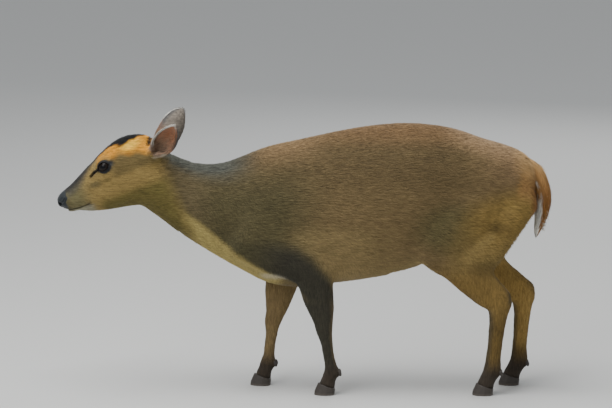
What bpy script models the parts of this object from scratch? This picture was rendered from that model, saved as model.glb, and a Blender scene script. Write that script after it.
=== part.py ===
"""A muntjac doe at life size, standing in mid step with her head held low and forward.

She faces -X, her left side is towards -Y, and her hooves rest on the plane z = 0.
The flesh is blocked out from lofted forms, fused and smoothed, then parted with thin cuts.
"""

import math

import bmesh
import bpy
import numpy as np
from mathutils import Matrix, Vector
from mathutils.bvhtree import BVHTree

# All sizes below are in millimetres, degrees or plain shares. MM turns millimetres into metres.
MM = 0.001

# Gap between two pieces that touch
GAP = 0.3

# Fusing and smoothing of the flesh
BODY_VOXEL = 3.5
HEAD_VOXEL = 2.0
BODY_SPREAD = 38
FINE_SPREAD = 7
NECK_ROWS = 6

# Triangles left in each piece of flesh
TRIANGLES = {"torso": 3500, "neck": 480, "head": 1900, "foreleg": 460, "hindleg": 640, "nose": 240}

# The head's own frame: its origin is the middle of the nose pad, and its axis runs back and up
NOSE = Vector((-428, 0, 337))
HEAD_TILT = 22

LEFT, RIGHT = -1, 1
SIDES = {"left": LEFT, "right": RIGHT}

# Trunk and neck, from the poll to the rump. Each row is a slice across X: its x, top, bottom,
# half width, height of the widest line as a share of the depth, and how square the slice is
# above and below that line, where 2 is an ellipse.
TRUNK = {
    "poll": (-300, 430, 340, 30, 0.50, 2.0, 2.0),
    "nape": (-255, 434, 306, 35, 0.48, 2.0, 1.9),
    "throat": (-218, 416, 276, 38, 0.48, 2.0, 1.9),
    "mid_neck": (-180, 406, 252, 41, 0.47, 2.0, 2.0),
    "neck_base": (-145, 408, 232, 47, 0.46, 1.9, 2.1),
    "shoulder_point": (-108, 421, 213, 57, 0.45, 1.8, 2.1),
    "brisket": (-71, 436, 194, 64, 0.44, 1.8, 2.0),
    "elbows": (-8, 450, 184, 71, 0.43, 1.8, 2.0),
    "girth": (44, 461, 191, 77, 0.42, 1.9, 2.1),
    "ribs": (97, 470, 198, 84, 0.42, 2.0, 2.2),
    "belly": (149, 476, 207, 87, 0.42, 2.0, 2.2),
    "flank": (202, 476, 223, 84, 0.44, 2.0, 2.1),
    "loin": (237, 472, 246, 77, 0.47, 2.0, 2.0),
    "hips": (272, 464, 268, 70, 0.50, 2.0, 2.0),
    "croup": (307, 451, 284, 65, 0.52, 2.0, 2.0),
    "pelvis": (342, 441, 300, 60, 0.52, 2.0, 2.0),
    "tail_root": (373, 430, 312, 52, 0.50, 2.1, 2.0),
    "buttock": (394, 413, 326, 40, 0.48, 2.1, 2.1),
    "rump": (404, 388, 342, 22, 0.48, 2.0, 2.0),
}

# The head, from the nose back. Each row is a slice across the head's axis: its distance from the
# nose, top, bottom and the rest as for the trunk.
HEAD = {
    "nose_front": (-4.5, 5, -9, 7, 0.50, 2.2, 2.2),
    "nose_pad": (3, 11, -15, 13, 0.50, 2.3, 2.2),
    "nostril": (10, 14, -22, 16, 0.45, 2.3, 2.2),
    "lips": (24, 18, -27, 17, 0.42, 2.2, 2.0),
    "mouth_corner": (46, 28, -37.5, 20, 0.42, 2.1, 2.0),
    "muzzle": (63, 36, -43, 26, 0.48, 2.1, 1.9),
    "cheek": (80, 43, -47.5, 33.5, 0.56, 2.3, 1.8),
    "eyes": (94, 50, -50.5, 38, 0.60, 2.4, 1.8),
    "brow": (110, 55, -54, 40, 0.60, 2.4, 1.8),
    "forehead": (128, 60, -59, 39, 0.55, 2.3, 1.8),
    "crown": (146, 62, -60, 38, 0.52, 2.1, 1.9),
    "ears": (164, 59, -54, 37, 0.52, 2.0, 2.0),
    "occiput": (184, 51, -40, 32, 0.50, 2.0, 2.0),
    "skull_back": (198, 34, -24, 20, 0.50, 2.0, 2.0),
}

# Joints of each leg as x, distance from the mid plane, height
FORE_JOINTS = {
    "left": {
        "shoulder": (-112, 44, 290),
        "elbow": (10, 54, 228),
        "knee": (35, 46, 115),
        "fetlock": (46, 42, 42),
        "coronet": (39, 41, 16),
        "sole": (37, 41, 0),
    },
    "right": {
        "shoulder": (-116, 44, 290),
        "elbow": (-36, 54, 226),
        "knee": (-56, 46, 113),
        "fetlock": (-66, 42, 42),
        "coronet": (-74, 41, 16),
        "sole": (-76, 41, 0),
    },
}
HIND_JOINTS = {
    "left": {
        "hip": (305, 40, 352),
        "stifle": (232, 54, 262),
        "hock": (338, 46, 168),
        "fetlock": (326, 44, 44),
        "coronet": (316, 44, 16),
        "sole": (313, 44, 0),
    },
    "right": {
        "hip": (305, 40, 352),
        "stifle": (254, 54, 262),
        "hock": (385, 46, 166),
        "fetlock": (378, 44, 44),
        "coronet": (367, 44, 16),
        "sole": (364, 44, 0),
    },
}

# Leg sizes: the joint that a ring follows, its share of the way to the next joint, how far it
# stands back from the bone, its depth from front to back, and its width.
FORE_SIZES = [
    ("shoulder", 0.00, 0, 96, 46),
    ("shoulder", 0.50, 0, 92, 46),
    ("elbow", 0.00, 1, 78, 41),
    ("elbow", 0.25, 3, 66, 37),
    ("elbow", 0.50, 2, 55, 32),
    ("elbow", 0.72, 2, 43, 28),
    ("elbow", 0.90, 0.5, 33, 25),
    ("knee", 0.00, -1, 29, 26),
    ("knee", 0.22, 0, 23, 20),
    ("knee", 0.60, 0, 20, 18),
    ("knee", 0.88, 1, 22, 20),
    ("fetlock", 0.00, 1, 26, 23),
    ("fetlock", 0.55, 0, 24, 23),
    ("coronet", 0.00, 0, 29, 26),
    ("sole", 0.00, 0, 30, 27),
]
HIND_SIZES = [
    ("hip", 0.00, 0, 130, 62),
    ("hip", 0.55, 4, 136, 64),
    ("stifle", 0.00, 16, 118, 58),
    ("stifle", 0.28, 10, 92, 50),
    ("stifle", 0.58, 1.5, 70, 40),
    ("stifle", 0.82, -2.5, 54, 32),
    ("hock", 0.00, 0, 49, 30),
    ("hock", 0.18, 2.2, 35, 26),
    ("hock", 0.50, 2.2, 27.5, 22.5),
    ("hock", 0.85, 1.8, 27.5, 22),
    ("fetlock", 0.00, 2, 31, 26),
    ("fetlock", 0.55, 0, 27, 25),
    ("coronet", 0.00, 0, 31, 27),
    ("sole", 0.00, 0, 32, 28),
]

# Cuts between pieces of flesh: a point of the plane and the normal that points to the rump
HEAD_CUT = ((-282, 0, 323), (0.913, 0, -0.408))
NECK_CUT = ((-146, 0, 320), (1, 0, 0.06))

# Cuts that part the legs from the torso: a point of the plane, its slope in degrees, the nearest
# that the cut comes to the mid plane, and where the leg lies along X
LEG_PLANES = {"foreleg": ((0, 0, 190), 0), "hindleg": ((205, 0, 224), 10)}
LEG_INNER = {"foreleg": 28, "hindleg": 6}
LEG_SPANS = {"foreleg": (-130, 110), "hindleg": (204, 440)}
ROUGH_MARGIN = 4
REACH = 600

# Ears: root and tip as x, distance from the mid plane, height, and the way the cup opens
EAR_ROOTS = {"left": (-259, 34, 430), "right": (-259, 34, 430)}
EAR_TIPS = {"left": (-223, 86, 482), "right": (-213, 60, 490)}
EAR_OPENINGS = {"left": (-0.62, 0.72, -0.33), "right": (-0.41, 0.86, -0.07)}

# Each row of an ear: share of its length, half width, half of the arc that its wall spans in
# degrees, thickness of its wall, and how far it stands towards its back. EAR_TAPERS is how much
# narrower each ear is at its tip than that. EAR_SWAYS is how far each ear sways to the rear, and
# in how many half waves from root to tip.
EAR_SHAPE = [
    (0.00, 12.5, 160, 9.0, 0),
    (0.12, 16.0, 150, 6.0, 0),
    (0.28, 20.6, 128, 3.2, 1),
    (0.48, 22.0, 108, 2.5, 2),
    (0.68, 20.5, 96, 2.3, 2),
    (0.85, 14.5, 88, 2.2, 1),
    (0.95, 8.0, 84, 2.0, -1),
    (1.00, 3.0, 80, 1.6, -2),
]
EAR_TAPERS = {"left": 0.57, "right": 0.10}
EAR_TAPER_POWER = 2.2
EAR_SWAYS = {"left": (3.2, 1), "right": (2.8, 1.7)}
EAR_RINGS = 15
EAR_ARC = 9
SEAT_RADIUS = 24
SEAT_FOOT = 19
SEAT_HEIGHT = 26

# Eyes, in the head's frame: distance from the nose, height, distance from the mid plane
EYE_CENTRE = (98.5, 30, 31)
EYE_RADIUS = 12
EYE_HALF_LENGTH = 10.5
EYE_HALF_HEIGHT = 6.6
EYE_CORNER = 0.58
EYE_SLANT = 28
LID = 1.9

# Gland slit below and before each eye: distance from the nose, height, distance from the mid plane
SLIT_CENTRE = (68, 19.5, 28)
SLIT_SLANT = 35

# Mouth line in the head's frame, from the front lip to the corner
MOUTH_LINE = [(0, -16.5), (14, -20.5), (25, -22.2), (36, -22.4), (47, -21.6)]
MOUTH_DEPTH = 4.0
MOUTH_HEIGHT = 0.9

# Nose pad: its lower edge and how far back it reaches there and at its top
NOSE_BOTTOM = -12
NOSE_BACK_LOW = 9
NOSE_BACK_HIGH = 5

# Hamstrings: where each starts along X, and where it ends on the back of the thigh
HAMSTRING_TOP = 375
HAMSTRING_ENDS = {"left": (323, -46, 254), "right": (332, 46, 256)}

# Hooves. Each ring: share of the coronet's height, length, width of one claw, and how far it
# stands ahead of the coronet's middle
CLEFT = 1.6
CORONET_FRONT = 20
CORONET_HEEL = 11
CORONET_LENGTH = 30
HOOF_RINGS = [(0, 36, 13.6, 5), (0.3, 35.5, 13.6, 4.4), (1, 30, 12.6, 0.6)]
CLAW_OUTLINE = [
    (1.00, 0.10), (0.93, 0.32), (0.70, 0.62), (0.35, 0.88), (-0.10, 1.00),
    (-0.55, 0.96), (-0.85, 0.74), (-1.00, 0.38), (-0.98, 0.00), (-0.40, 0.00),
    (0.30, 0.00), (0.90, 0.00),
]

# Tail: a curve from the root to the tip as x, height, thickness, width
TAIL = {
    "root": (376, 405, 30, 30),
    "bend": (396, 391, 32, 36),
    "top": (411, 366, 31, 42),
    "middle": (416, 336, 31, 44),
    "lower": (413.5, 308, 24, 38),
    "end": (408.5, 290, 15, 26),
    "tip": (405.5, 281, 8, 13),
}
TAIL_RINGS = 18
TAIL_POINTS = 14
TAIL_TUFT = 60

# Below its seat in the rump the tail is a core with locks laid over it, and the rump keeps clear
CORE_SCALING = (0.30, 0.60, 0.76)
BED_SCALING = (0.20, 0.32, 1.30)
ROOT_SCALE = 0.62
TIP_SCALE = 1.06

# Tiers of locks on the tail: share of the way down, share that they reach on, width, and angles
# from the outer line
TAIL_TIERS = [
    (0.20, 0.32, 15, (-58, 0, 58)),
    (0.31, 0.31, 15, (-100, -32, 32, 100)),
    (0.43, 0.30, 14, (-74, 0, 74)),
    (0.55, 0.29, 13, (-120, -36, 36, 120)),
    (0.67, 0.28, 12, (-84, 0, 84, 180)),
    (0.78, 0.27, 11, (-130, -40, 40, 130)),
    (0.88, 0.25, 9, (-84, 0, 84, 180)),
]
TAIL_SEED = 7
LOCK_TAPER = [(0.0, 0.6), (0.35, 1.0), (0.72, 0.75), (1.0, 0.10)]
LOCK_BOW = 2.2
LOCK_THICKNESS = 0.36

# Colour and roughness of each material
LOOKS = {
    "body_coat": ((0.150, 0.072, 0.036), 0.85),
    "head_coat": ((0.230, 0.120, 0.055), 0.85),
    "neck_coat": ((0.120, 0.075, 0.048), 0.85),
    "leg_coat": ((0.095, 0.052, 0.032), 0.85),
    "ear_coat": ((0.150, 0.095, 0.065), 0.85),
    "tail_coat": ((0.260, 0.095, 0.035), 0.85),
    "nose_leather": ((0.012, 0.012, 0.014), 0.35),
    "hoof_horn": ((0.030, 0.026, 0.024), 0.45),
    "eye_glass": ((0.012, 0.008, 0.006), 0.05),
}
LOOK_OF = {
    "torso": "body_coat",
    "neck": "neck_coat",
    "head": "head_coat",
    "nose": "nose_leather",
    "eye": "eye_glass",
    "ear": "ear_coat",
    "foreleg": "leg_coat",
    "hindleg": "leg_coat",
    "tail": "tail_coat",
    "hoof": "hoof_horn",
}

RING_POINTS = 28
SMALL_RING_POINTS = 20
TURN = 2 * math.pi


def clear_scene():
    for obj in list(bpy.data.objects):
        bpy.data.objects.remove(obj)


def finish_mesh(name, mesh_maker):
    """A new object whose mesh is what the bmesh holds, with its faces pointing out."""
    bmesh.ops.recalc_face_normals(mesh_maker, faces=mesh_maker.faces)
    if mesh_maker.calc_volume(signed=True) < 0:
        bmesh.ops.reverse_faces(mesh_maker, faces=mesh_maker.faces)
    mesh = bpy.data.meshes.new(name)
    mesh_maker.to_mesh(mesh)
    mesh_maker.free()
    obj = bpy.data.objects.new(name, mesh)
    bpy.context.scene.collection.objects.link(obj)
    return obj


def loft(name, rings):
    """A closed form through rings of points in millimetres, capped at both ends."""
    bm = bmesh.new()
    rows = [[bm.verts.new(Vector(p) * MM) for p in ring] for ring in rings]
    count = len(rows[0])
    for near, far in zip(rows, rows[1:]):
        for i in range(count):
            j = (i + 1) % count
            bm.faces.new((near[i], near[j], far[j], far[i]))
    bm.faces.new(rows[0][::-1])
    bm.faces.new(rows[-1])
    return finish_mesh(name, bm)


def ball(name, centre, radii, turn=None, fineness=3):
    """An ellipsoid whose radii lie along X, Y and Z before the turn."""
    bm = bmesh.new()
    bmesh.ops.create_icosphere(bm, subdivisions=fineness, radius=1)
    shape = Matrix.Diagonal(Vector(radii) * MM).to_4x4()
    place = Matrix.Translation(Vector(centre) * MM)
    bm.transform(place @ (turn or Matrix()) @ shape)
    return finish_mesh(name, bm)


def rod(name, start, end, start_radius, end_radius):
    """A tapered rod with round ends between two points."""
    start, end = Vector(start), Vector(end)
    axis = (end - start).normalized()
    side = axis.orthogonal().normalized()
    other = axis.cross(side)
    ends = (
        [(start, start_radius, a) for a in (-80, -55, -25)]
        + [(end, end_radius, a) for a in (25, 55, 80)]
    )
    rings = []
    for point, radius, angle in ends:
        middle = point + axis * radius * math.sin(math.radians(angle))
        reach = radius * math.cos(math.radians(angle))
        rings.append([
            middle + (side * math.cos(a) + other * math.sin(a)) * reach
            for a in np.arange(SMALL_RING_POINTS) * TURN / SMALL_RING_POINTS
        ])
    return loft(name, rings)


def smooth_rows(rows, count):
    """Rows read along a smooth curve through the given ones, evenly by the way along them."""
    rows = np.array(rows, float)
    steps = np.linalg.norm(np.diff(rows[:, :3], axis=0), axis=1)
    along = np.concatenate([[0], np.cumsum(steps)])
    slopes = np.gradient(rows, along, axis=0)
    at = np.linspace(0, along[-1], count)
    k = np.clip(np.searchsorted(along, at, side="right") - 1, 0, len(rows) - 2)
    span = (along[k + 1] - along[k])[:, None]
    t = (at - along[k])[:, None] / span
    return (
        rows[k] * (1 + 2 * t) * (1 - t) ** 2
        + rows[k + 1] * t ** 2 * (3 - 2 * t)
        + slopes[k] * span * t * (1 - t) ** 2
        - slopes[k + 1] * span * t ** 2 * (1 - t)
    )


def section(half_width, rise, drop, square_above, square_below, count):
    """A closed cross-section as (side, up) pairs about its widest line."""
    angles = np.arange(count) * TURN / count
    across, upward = np.cos(angles), np.sin(angles)
    square = np.where(upward >= 0, square_above, square_below)
    height = np.where(upward >= 0, rise, drop)
    side = half_width * np.sign(across) * np.abs(across) ** (2 / square)
    up = height * np.sign(upward) * np.abs(upward) ** (2 / square)
    return list(zip(side, up))


def sliced_form(name, slices, count, place):
    """A loft through slices like those of TRUNK and HEAD. place turns (along, side, up) to a point."""
    rings = []
    for along, top, bottom, half_width, widest, above, below in smooth_rows(slices, count):
        middle = bottom + (top - bottom) * widest
        outline = section(half_width, top - middle, middle - bottom, above, below, RING_POINTS)
        rings.append([place(along, side, middle + up) for side, up in outline])
    return loft(name, rings)


def in_body(along, side, up):
    return Vector((along, side, up))


def in_head(along, side, up):
    """A point of the head's own frame as a point of the model."""
    tilt = math.radians(HEAD_TILT)
    back = Vector((math.cos(tilt), 0, math.sin(tilt)))
    over = Vector((-math.sin(tilt), 0, math.cos(tilt)))
    return NOSE + back * along + over * up + Vector((0, side, 0))


def head_turn():
    """The turn that carries X, Y, Z to the head's axis, side and up."""
    return Matrix.Rotation(-math.radians(HEAD_TILT), 4, "Y")


def limb_rows(joints, sizes, side):
    """One row for each ring of a leg: x, y, z, depth and width."""
    names = list(joints)
    points = {n: Vector((x, side * y, z)) for n, (x, y, z) in joints.items()}
    rows = []
    for name, share, back, depth, width in sizes:
        start = points[name]
        last = name == names[-1]
        end = start if last else points[names[names.index(name) + 1]]
        bone = (points[names[-1]] - points[names[-2]]) if last else (end - start)
        behind = Vector((-bone.z, 0, bone.x)).normalized()
        centre = start.lerp(end, share) + behind * back
        rows.append((*centre, depth, width))
    return rows


def limb(name, joints, sizes, side, count):
    """A leg's loft: its rings stand across the line of the leg, level from side to side."""
    rows = smooth_rows(limb_rows(joints, sizes, side), count)
    centres = rows[:, :3]
    directions = np.gradient(centres, axis=0)
    rings = []
    for centre, direction, (depth, width) in zip(centres, directions, rows[:, 3:]):
        down = Vector((direction[0], 0, direction[2])).normalized()
        behind = Vector((-down.z, 0, down.x))
        outline = section(width / 2, depth / 2, depth / 2, 2.1, 2.1, SMALL_RING_POINTS)
        rings.append([
            Vector(centre) + Vector((0, across, 0)) + behind * along
            for across, along in outline
        ])
    return loft(name, rings)


def apply_modifiers(obj):
    """Replaces the object's mesh with the one its modifiers give."""
    graph = bpy.context.evaluated_depsgraph_get()
    graph.update()
    made = bpy.data.meshes.new_from_object(obj.evaluated_get(graph))
    obj.modifiers.clear()
    old = obj.data
    obj.data = made
    bpy.data.meshes.remove(old)
    return obj


def join(name, objects):
    """One object that holds the meshes of all these, which are removed."""
    bm = bmesh.new()
    for obj in objects:
        bm.from_mesh(obj.data)
        bpy.data.objects.remove(obj)
    mesh = bpy.data.meshes.new(name)
    bm.to_mesh(mesh)
    bm.free()
    made = bpy.data.objects.new(name, mesh)
    bpy.context.scene.collection.objects.link(made)
    return made


def keep_largest(obj):
    """Keeps the closed surface that holds most, and drops every scrap and sealed hollow."""
    bm = bmesh.new()
    bm.from_mesh(obj.data)
    left = set(bm.verts)
    islands = []
    while left:
        island, edge = set(), [left.pop()]
        while edge:
            vert = edge.pop()
            island.add(vert)
            near = {e.other_vert(vert) for e in vert.link_edges} & left
            left -= near
            edge.extend(near)
        islands.append(island)
    largest = max(islands, key=len)
    drop = [v for v in bm.verts if v not in largest]
    bmesh.ops.delete(bm, geom=drop, context="VERTS")
    bm.to_mesh(obj.data)
    bm.free()
    return obj


def boolean(obj, other, operation, solver="EXACT"):
    """Cuts or joins another object into this one, and removes the other."""
    modifier = obj.modifiers.new("bool", "BOOLEAN")
    modifier.operation = operation
    modifier.solver = solver
    modifier.object = other
    apply_modifiers(obj)
    bpy.data.objects.remove(other)
    return obj


def union_all(obj, others):
    """Joins a collection of closed pieces to this object in one union."""
    group = bpy.data.collections.new("pieces")
    for other in others:
        group.objects.link(other)
    modifier = obj.modifiers.new("union", "BOOLEAN")
    modifier.operation = "UNION"
    modifier.solver = "EXACT"
    modifier.operand_type = "COLLECTION"
    modifier.collection = group
    apply_modifiers(obj)
    for other in others:
        bpy.data.objects.remove(other)
    bpy.data.collections.remove(group)
    return keep_largest(obj)


def copy_of(obj, name):
    twin = obj.copy()
    twin.data = obj.data.copy()
    twin.name = name
    bpy.context.scene.collection.objects.link(twin)
    return twin


def block(name, low, high, turn=None, pivot=(0, 0, 0)):
    """A box between two corners, turned about a pivot."""
    bm = bmesh.new()
    bmesh.ops.create_cube(bm, size=1)
    low, high = Vector(low) * MM, Vector(high) * MM
    size = Matrix.Diagonal(high - low).to_4x4()
    move = Matrix.Translation((low + high) / 2)
    about = Matrix.Translation(Vector(pivot) * MM)
    bm.transform(about @ (turn or Matrix()) @ about.inverted() @ move @ size)
    return finish_mesh(name, bm)


def leg_muscles(name, side):
    """Shoulder, upper arm, hamstring and hock forms that the leg lofts alone leave out."""
    fore = {n: Vector((x, side * y, z)) for n, (x, y, z) in FORE_JOINTS[name].items()}
    hind = {n: Vector((x, side * y, z)) for n, (x, y, z) in HIND_JOINTS[name].items()}
    hock_point = hind["hock"] + Vector((12, 0, 13))
    behind_fetlocks = (fore["fetlock"] + Vector((11, 0, 1)), hind["fetlock"] + Vector((13, 0, 1)))
    forms = [
        rod("blade", (-34, side * 24, 388), fore["shoulder"] + Vector((24, -side * 6, 14)), 27, 30),
        rod("triceps", (-30, side * 38, 300), fore["elbow"] + Vector((8, 0, 18)), 33, 22),
        rod("point_of_elbow", fore["elbow"], fore["elbow"] + Vector((16, 0, 6)), 17, 11),
        rod("hamstring", (HAMSTRING_TOP, side * 26, 334), HAMSTRING_ENDS[name], 34, 28),
        rod("thigh", (290, side * 24, 366), hind["stifle"] + Vector((26, -side * 12, 26)), 46, 42),
        rod("tendon", hock_point, hind["stifle"] + Vector((70, 0, -20)), 9, 13),
        rod("hock_point", hind["hock"], hock_point, 15, 9.5),
    ]
    for point in behind_fetlocks:
        for inward in (-7, 7):
            start = point + Vector((0, inward, 0))
            forms.append(rod("dewclaw", start, start + Vector((1, inward * 0.2, -6)), 5, 4))
    return forms


def head_forms():
    """Brow, cheek, ridge, lip and ear-base forms laid on the head's loft."""
    turn = head_turn()
    forms = [ball("chin", in_head(22, 0, -22.5), (14, 10, 3.5), turn)]
    for side in SIDES.values():
        forms += [
            ball("orbit", in_head(99, side * 28, 30), (20, 12, 17), turn),
            rod("brow", in_head(88, side * 20, 33), in_head(116, side * 26, 38), 8, 10),
            ball("masseter", in_head(112, side * 18, -16), (38, 14, 28), turn),
            rod("cheekbone", in_head(80, side * 24, 6), in_head(112, side * 29, 8), 7, 9),
            rod("arch", in_head(106, side * 31, 12), in_head(150, side * 28, 10), 8, 8),
            rod("ridge", in_head(66, side * 8, 32), in_head(118, side * 15, 46), 5, 9.5),
            rod("ridge_end", in_head(118, side * 15, 46), in_head(152, side * 18, 40), 9.5, 8),
            rod("nostril_wing", in_head(6, side * 8, -5), in_head(16, side * 10, -4), 6.5, 5.5),
            rod("lip", in_head(10, side * 8, -13), in_head(42, side * 13, -18), 5, 6),
            rod("burr", in_head(160, side * 19, 14), in_head(184, side * 29, 20), 16, 13),
        ]
    return forms


def head_blockout():
    return join("head_forms", [
        sliced_form("neck_front", list(TRUNK.values())[:NECK_ROWS], 40, in_body),
        sliced_form("skull", list(HEAD.values()), 60, in_head),
        *head_forms(),
    ])


def body_blockout():
    forms = [sliced_form("trunk", list(TRUNK.values()), 90, in_body)]
    for name, side in SIDES.items():
        forms.append(limb("foreleg", FORE_JOINTS[name], FORE_SIZES, side, 56))
        forms.append(limb("hindleg", HIND_JOINTS[name], HIND_SIZES, side, 64))
        forms += leg_muscles(name, side)
    return join("body_forms", forms)


def softness(point):
    """How strongly the surface is smoothed here: fully on the trunk, little on head and shanks."""
    above_shanks = np.clip((point.z - 165 * MM) / (90 * MM), 0, 1)
    behind_head = np.clip((point.x + 300 * MM) / (60 * MM), 0, 1)
    return float(above_shanks * behind_head)


def fuse(forms, voxel):
    """Fuses forms into one surface and smooths it, most where the muscles are broad."""
    remesh = forms.modifiers.new("fuse", "REMESH")
    remesh.mode = "VOXEL"
    remesh.voxel_size = voxel * MM
    apply_modifiers(forms)
    group = forms.vertex_groups.new(name="soft")
    for vert in forms.data.vertices:
        group.add([vert.index], softness(vert.co), "REPLACE")
    for spread, where in ((BODY_SPREAD, "soft"), (FINE_SPREAD, "")):
        smooth = forms.modifiers.new("smooth", "SMOOTH")
        smooth.factor = 0.5
        smooth.iterations = round((spread / voxel) ** 2)
        smooth.vertex_group = where
    return apply_modifiers(forms)


def thin_out(obj, triangles):
    """Collapses edges until about this many triangles are left."""
    obj.data.calc_loop_triangles()
    decimate = obj.modifiers.new("thin", "DECIMATE")
    decimate.ratio = min(1, triangles / len(obj.data.loop_triangles))
    decimate.use_collapse_triangulate = True
    return apply_modifiers(obj)


def half_space(point, normal, shift):
    """A large block that fills the side of a plane that the normal points to, from shift on."""
    normal = Vector(normal).normalized()
    turn = normal.to_track_quat("Z", "Y").to_matrix().to_4x4()
    corner = Vector((REACH, REACH, 0))
    low, high = Vector(point) - corner, Vector(point) + corner + Vector((0, 0, 2 * REACH))
    shifted = Vector((0, 0, shift))
    return block("side", low + shifted, high + shifted, turn, point)


def take(flesh, name, cuts):
    """The part of the flesh that is left when each half space has been cut away.

    Each cut is a point, a normal and how far beyond the plane the cut starts. The flesh is cut
    a little outside its planes, thinned out, and then cut at them, so that its cut faces are flat.
    """
    piece = copy_of(flesh, name)
    for point, normal, shift in cuts:
        boolean(piece, half_space(point, normal, shift + ROUGH_MARGIN), "DIFFERENCE")
    keep_largest(piece)
    thin_out(piece, TRIANGLES[name.split("_")[0]])
    for point, normal, shift in cuts:
        boolean(piece, half_space(point, normal, shift), "DIFFERENCE")
    return keep_largest(piece)


def leg_block(kind, side, rise):
    """A block round one leg below its cut plane, with its top raised by this much."""
    low_y, high_y = sorted((side * LEG_INNER[kind], side * REACH))
    point, slope = LEG_PLANES[kind]
    front, back = LEG_SPANS[kind]
    low = Vector((front - 60, low_y, point[2] - 400))
    high = Vector((back, high_y, point[2] + rise))
    turn = Matrix.Rotation(-math.radians(slope), 4, "Y")
    return block("leg_block", low, high, turn, point)


def ear_points(name):
    """Root, tip and opening direction of an ear."""
    side = SIDES[name]
    return tuple(
        Vector((x, side * y, z))
        for x, y, z in (EAR_ROOTS[name], EAR_TIPS[name], EAR_OPENINGS[name])
    )


def ear(name):
    """A thin cupped leaf, rolled into a tube at its root, where it sits on the skull."""
    root, tip, opening = ear_points(name)
    axis = (tip - root).normalized()
    opening = (opening - axis * opening.dot(axis)).normalized()
    across = axis.cross(opening)
    length = (tip - root).length
    reach, waves = EAR_SWAYS[name]
    rearward = across * -SIDES[name]
    rings = []
    for along, half_width, half_arc, wall, lean in smooth_rows(EAR_SHAPE, EAR_RINGS):
        sway = rearward * reach * math.sin(math.pi * waves * along)
        middle = root + axis * along * length - opening * lean + sway
        half_width *= 1 - EAR_TAPERS[name] * along ** EAR_TAPER_POWER
        angles = np.linspace(-half_arc, half_arc, EAR_ARC)
        outer, inner = [], []
        for angle in np.radians(angles):
            way = across * math.sin(angle) - opening * math.cos(angle)
            outer.append(middle + way * half_width)
            inner.append(middle + way * (half_width - wall))
        rings.append(outer + inner[::-1])
    return loft("ear_" + name, rings)


def tail_rows(count):
    return smooth_rows([(x, 0, z, thick, wide) for x, z, thick, wide in TAIL.values()], count)


def tail_form(name, extra, scaling):
    """The tail's smooth form with this much added all round, and scaled from its seat down.

    scaling is the share of the tail where the scaling starts, where it ends, and the scale there.
    """
    rows = tail_rows(TAIL_RINGS)
    directions = np.gradient(rows[:, :3], axis=0)
    shares = np.linspace(0, 1, TAIL_RINGS)
    start, end, scale_there = scaling
    scales = np.interp(shares, (start, end), (1, scale_there))
    rings = []
    for (x, y, z, thick, wide), direction, scale in zip(rows, directions, scales):
        down = Vector(direction).normalized()
        outward = Vector((-down.z, 0, down.x))
        half_wide, half_thick = wide / 2 * scale + extra, thick / 2 * scale + extra
        outline = section(half_wide, half_thick, half_thick, 2, 2, TAIL_POINTS)
        rings.append([
            Vector((x, across, z)) + outward * out for across, out in outline
        ])
    return loft(name, rings)


def lock(root, tip, out, width, thick):
    """A flat tapered lock of hair, bowed outwards, with its root sunk into what carries it."""
    axis = (tip - root).normalized()
    flat = axis.cross(out).normalized()
    up = flat.cross(axis)
    rings = []
    for share, size in LOCK_TAPER:
        middle = root.lerp(tip, share) + out * LOCK_BOW * math.sin(math.pi * share)
        rings.append([
            middle + flat * side * width * size / 2 + up * rise * thick * size / 2
            for side, rise in ((1, 0), (0.5, 0.9), (-0.5, 0.9), (-1, 0), (0, -1))
        ])
    return loft("lock", rings)


def tail_place(rows, share, angle, scale):
    """A point of the tail at an angle from its outer line, and the way out of the tail there."""
    at = min(share, 1) * (len(rows) - 1)
    low = min(int(at), len(rows) - 2)
    row = rows[low] + (rows[low + 1] - rows[low]) * (at - low)
    down = Vector(rows[low + 1][:3] - rows[low][:3]).normalized()
    outward = Vector((-down.z, 0, down.x))
    turn = math.radians(angle)
    side_reach = row[4] / 2 * math.sin(turn)
    out_reach = row[3] / 2 * math.cos(turn)
    past = down * max(0, share - 1) * TAIL_TUFT
    point = Vector(row[:3]) + past + (Vector((0, side_reach, 0)) + outward * out_reach) * scale
    out = (Vector((0, math.sin(turn), 0)) + outward * math.cos(turn)).normalized()
    return point, out


def tail_locks():
    """Locks laid in tiers like shingles, each from a root in the tail to a tip just off it."""
    rows = tail_rows(TAIL_RINGS)
    draw = np.random.default_rng(TAIL_SEED)
    locks = []
    for share, reach, width, angles in TAIL_TIERS:
        for angle in angles:
            start = share + draw.uniform(-0.02, 0.02)
            length = reach * draw.uniform(0.9, 1.12)
            turn = angle + draw.uniform(-5, 5)
            root, out = tail_place(rows, start, turn, ROOT_SCALE)
            tip, _ = tail_place(rows, start + length, turn, TIP_SCALE)
            locks.append(lock(root, tip, out, width, width * LOCK_THICKNESS))
    return locks


def tail():
    return union_all(tail_form("tail", 0, CORE_SCALING), tail_locks())


def claw(name, joints, side, inner):
    """One half of a hoof: flat sole, upright inner wall, round outer wall and pointed toe."""
    x, y, _ = joints["coronet"]
    centre = Vector((x, side * y, 0))
    rings = []
    for height, length, width, ahead in HOOF_RINGS:
        ring = []
        for forward, out in CLAW_OUTLINE:
            px = centre.x - ahead - forward * length / 2
            py = centre.y + inner * (CLEFT / 2 + out * width)
            pz = height * (hoof_top(px, centre.x) - GAP / 2) if height else 0
            ring.append(Vector((px, py, pz)))
        rings.append(ring)
    return loft(name, rings)


def hoof_top(x, middle):
    """Height of the coronet, which falls from the front of the hoof to its heel."""
    share = (x - middle) / CORONET_LENGTH + 0.5
    return CORONET_FRONT + (CORONET_HEEL - CORONET_FRONT) * share


def hoof_plane(joints, side):
    """A point of the coronet's plane and its normal, which points down."""
    x, y, _ = joints["coronet"]
    fall = (CORONET_HEEL - CORONET_FRONT) / CORONET_LENGTH
    return Vector((x, side * y, hoof_top(x, x))), Vector((fall, 0, -1))


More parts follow.
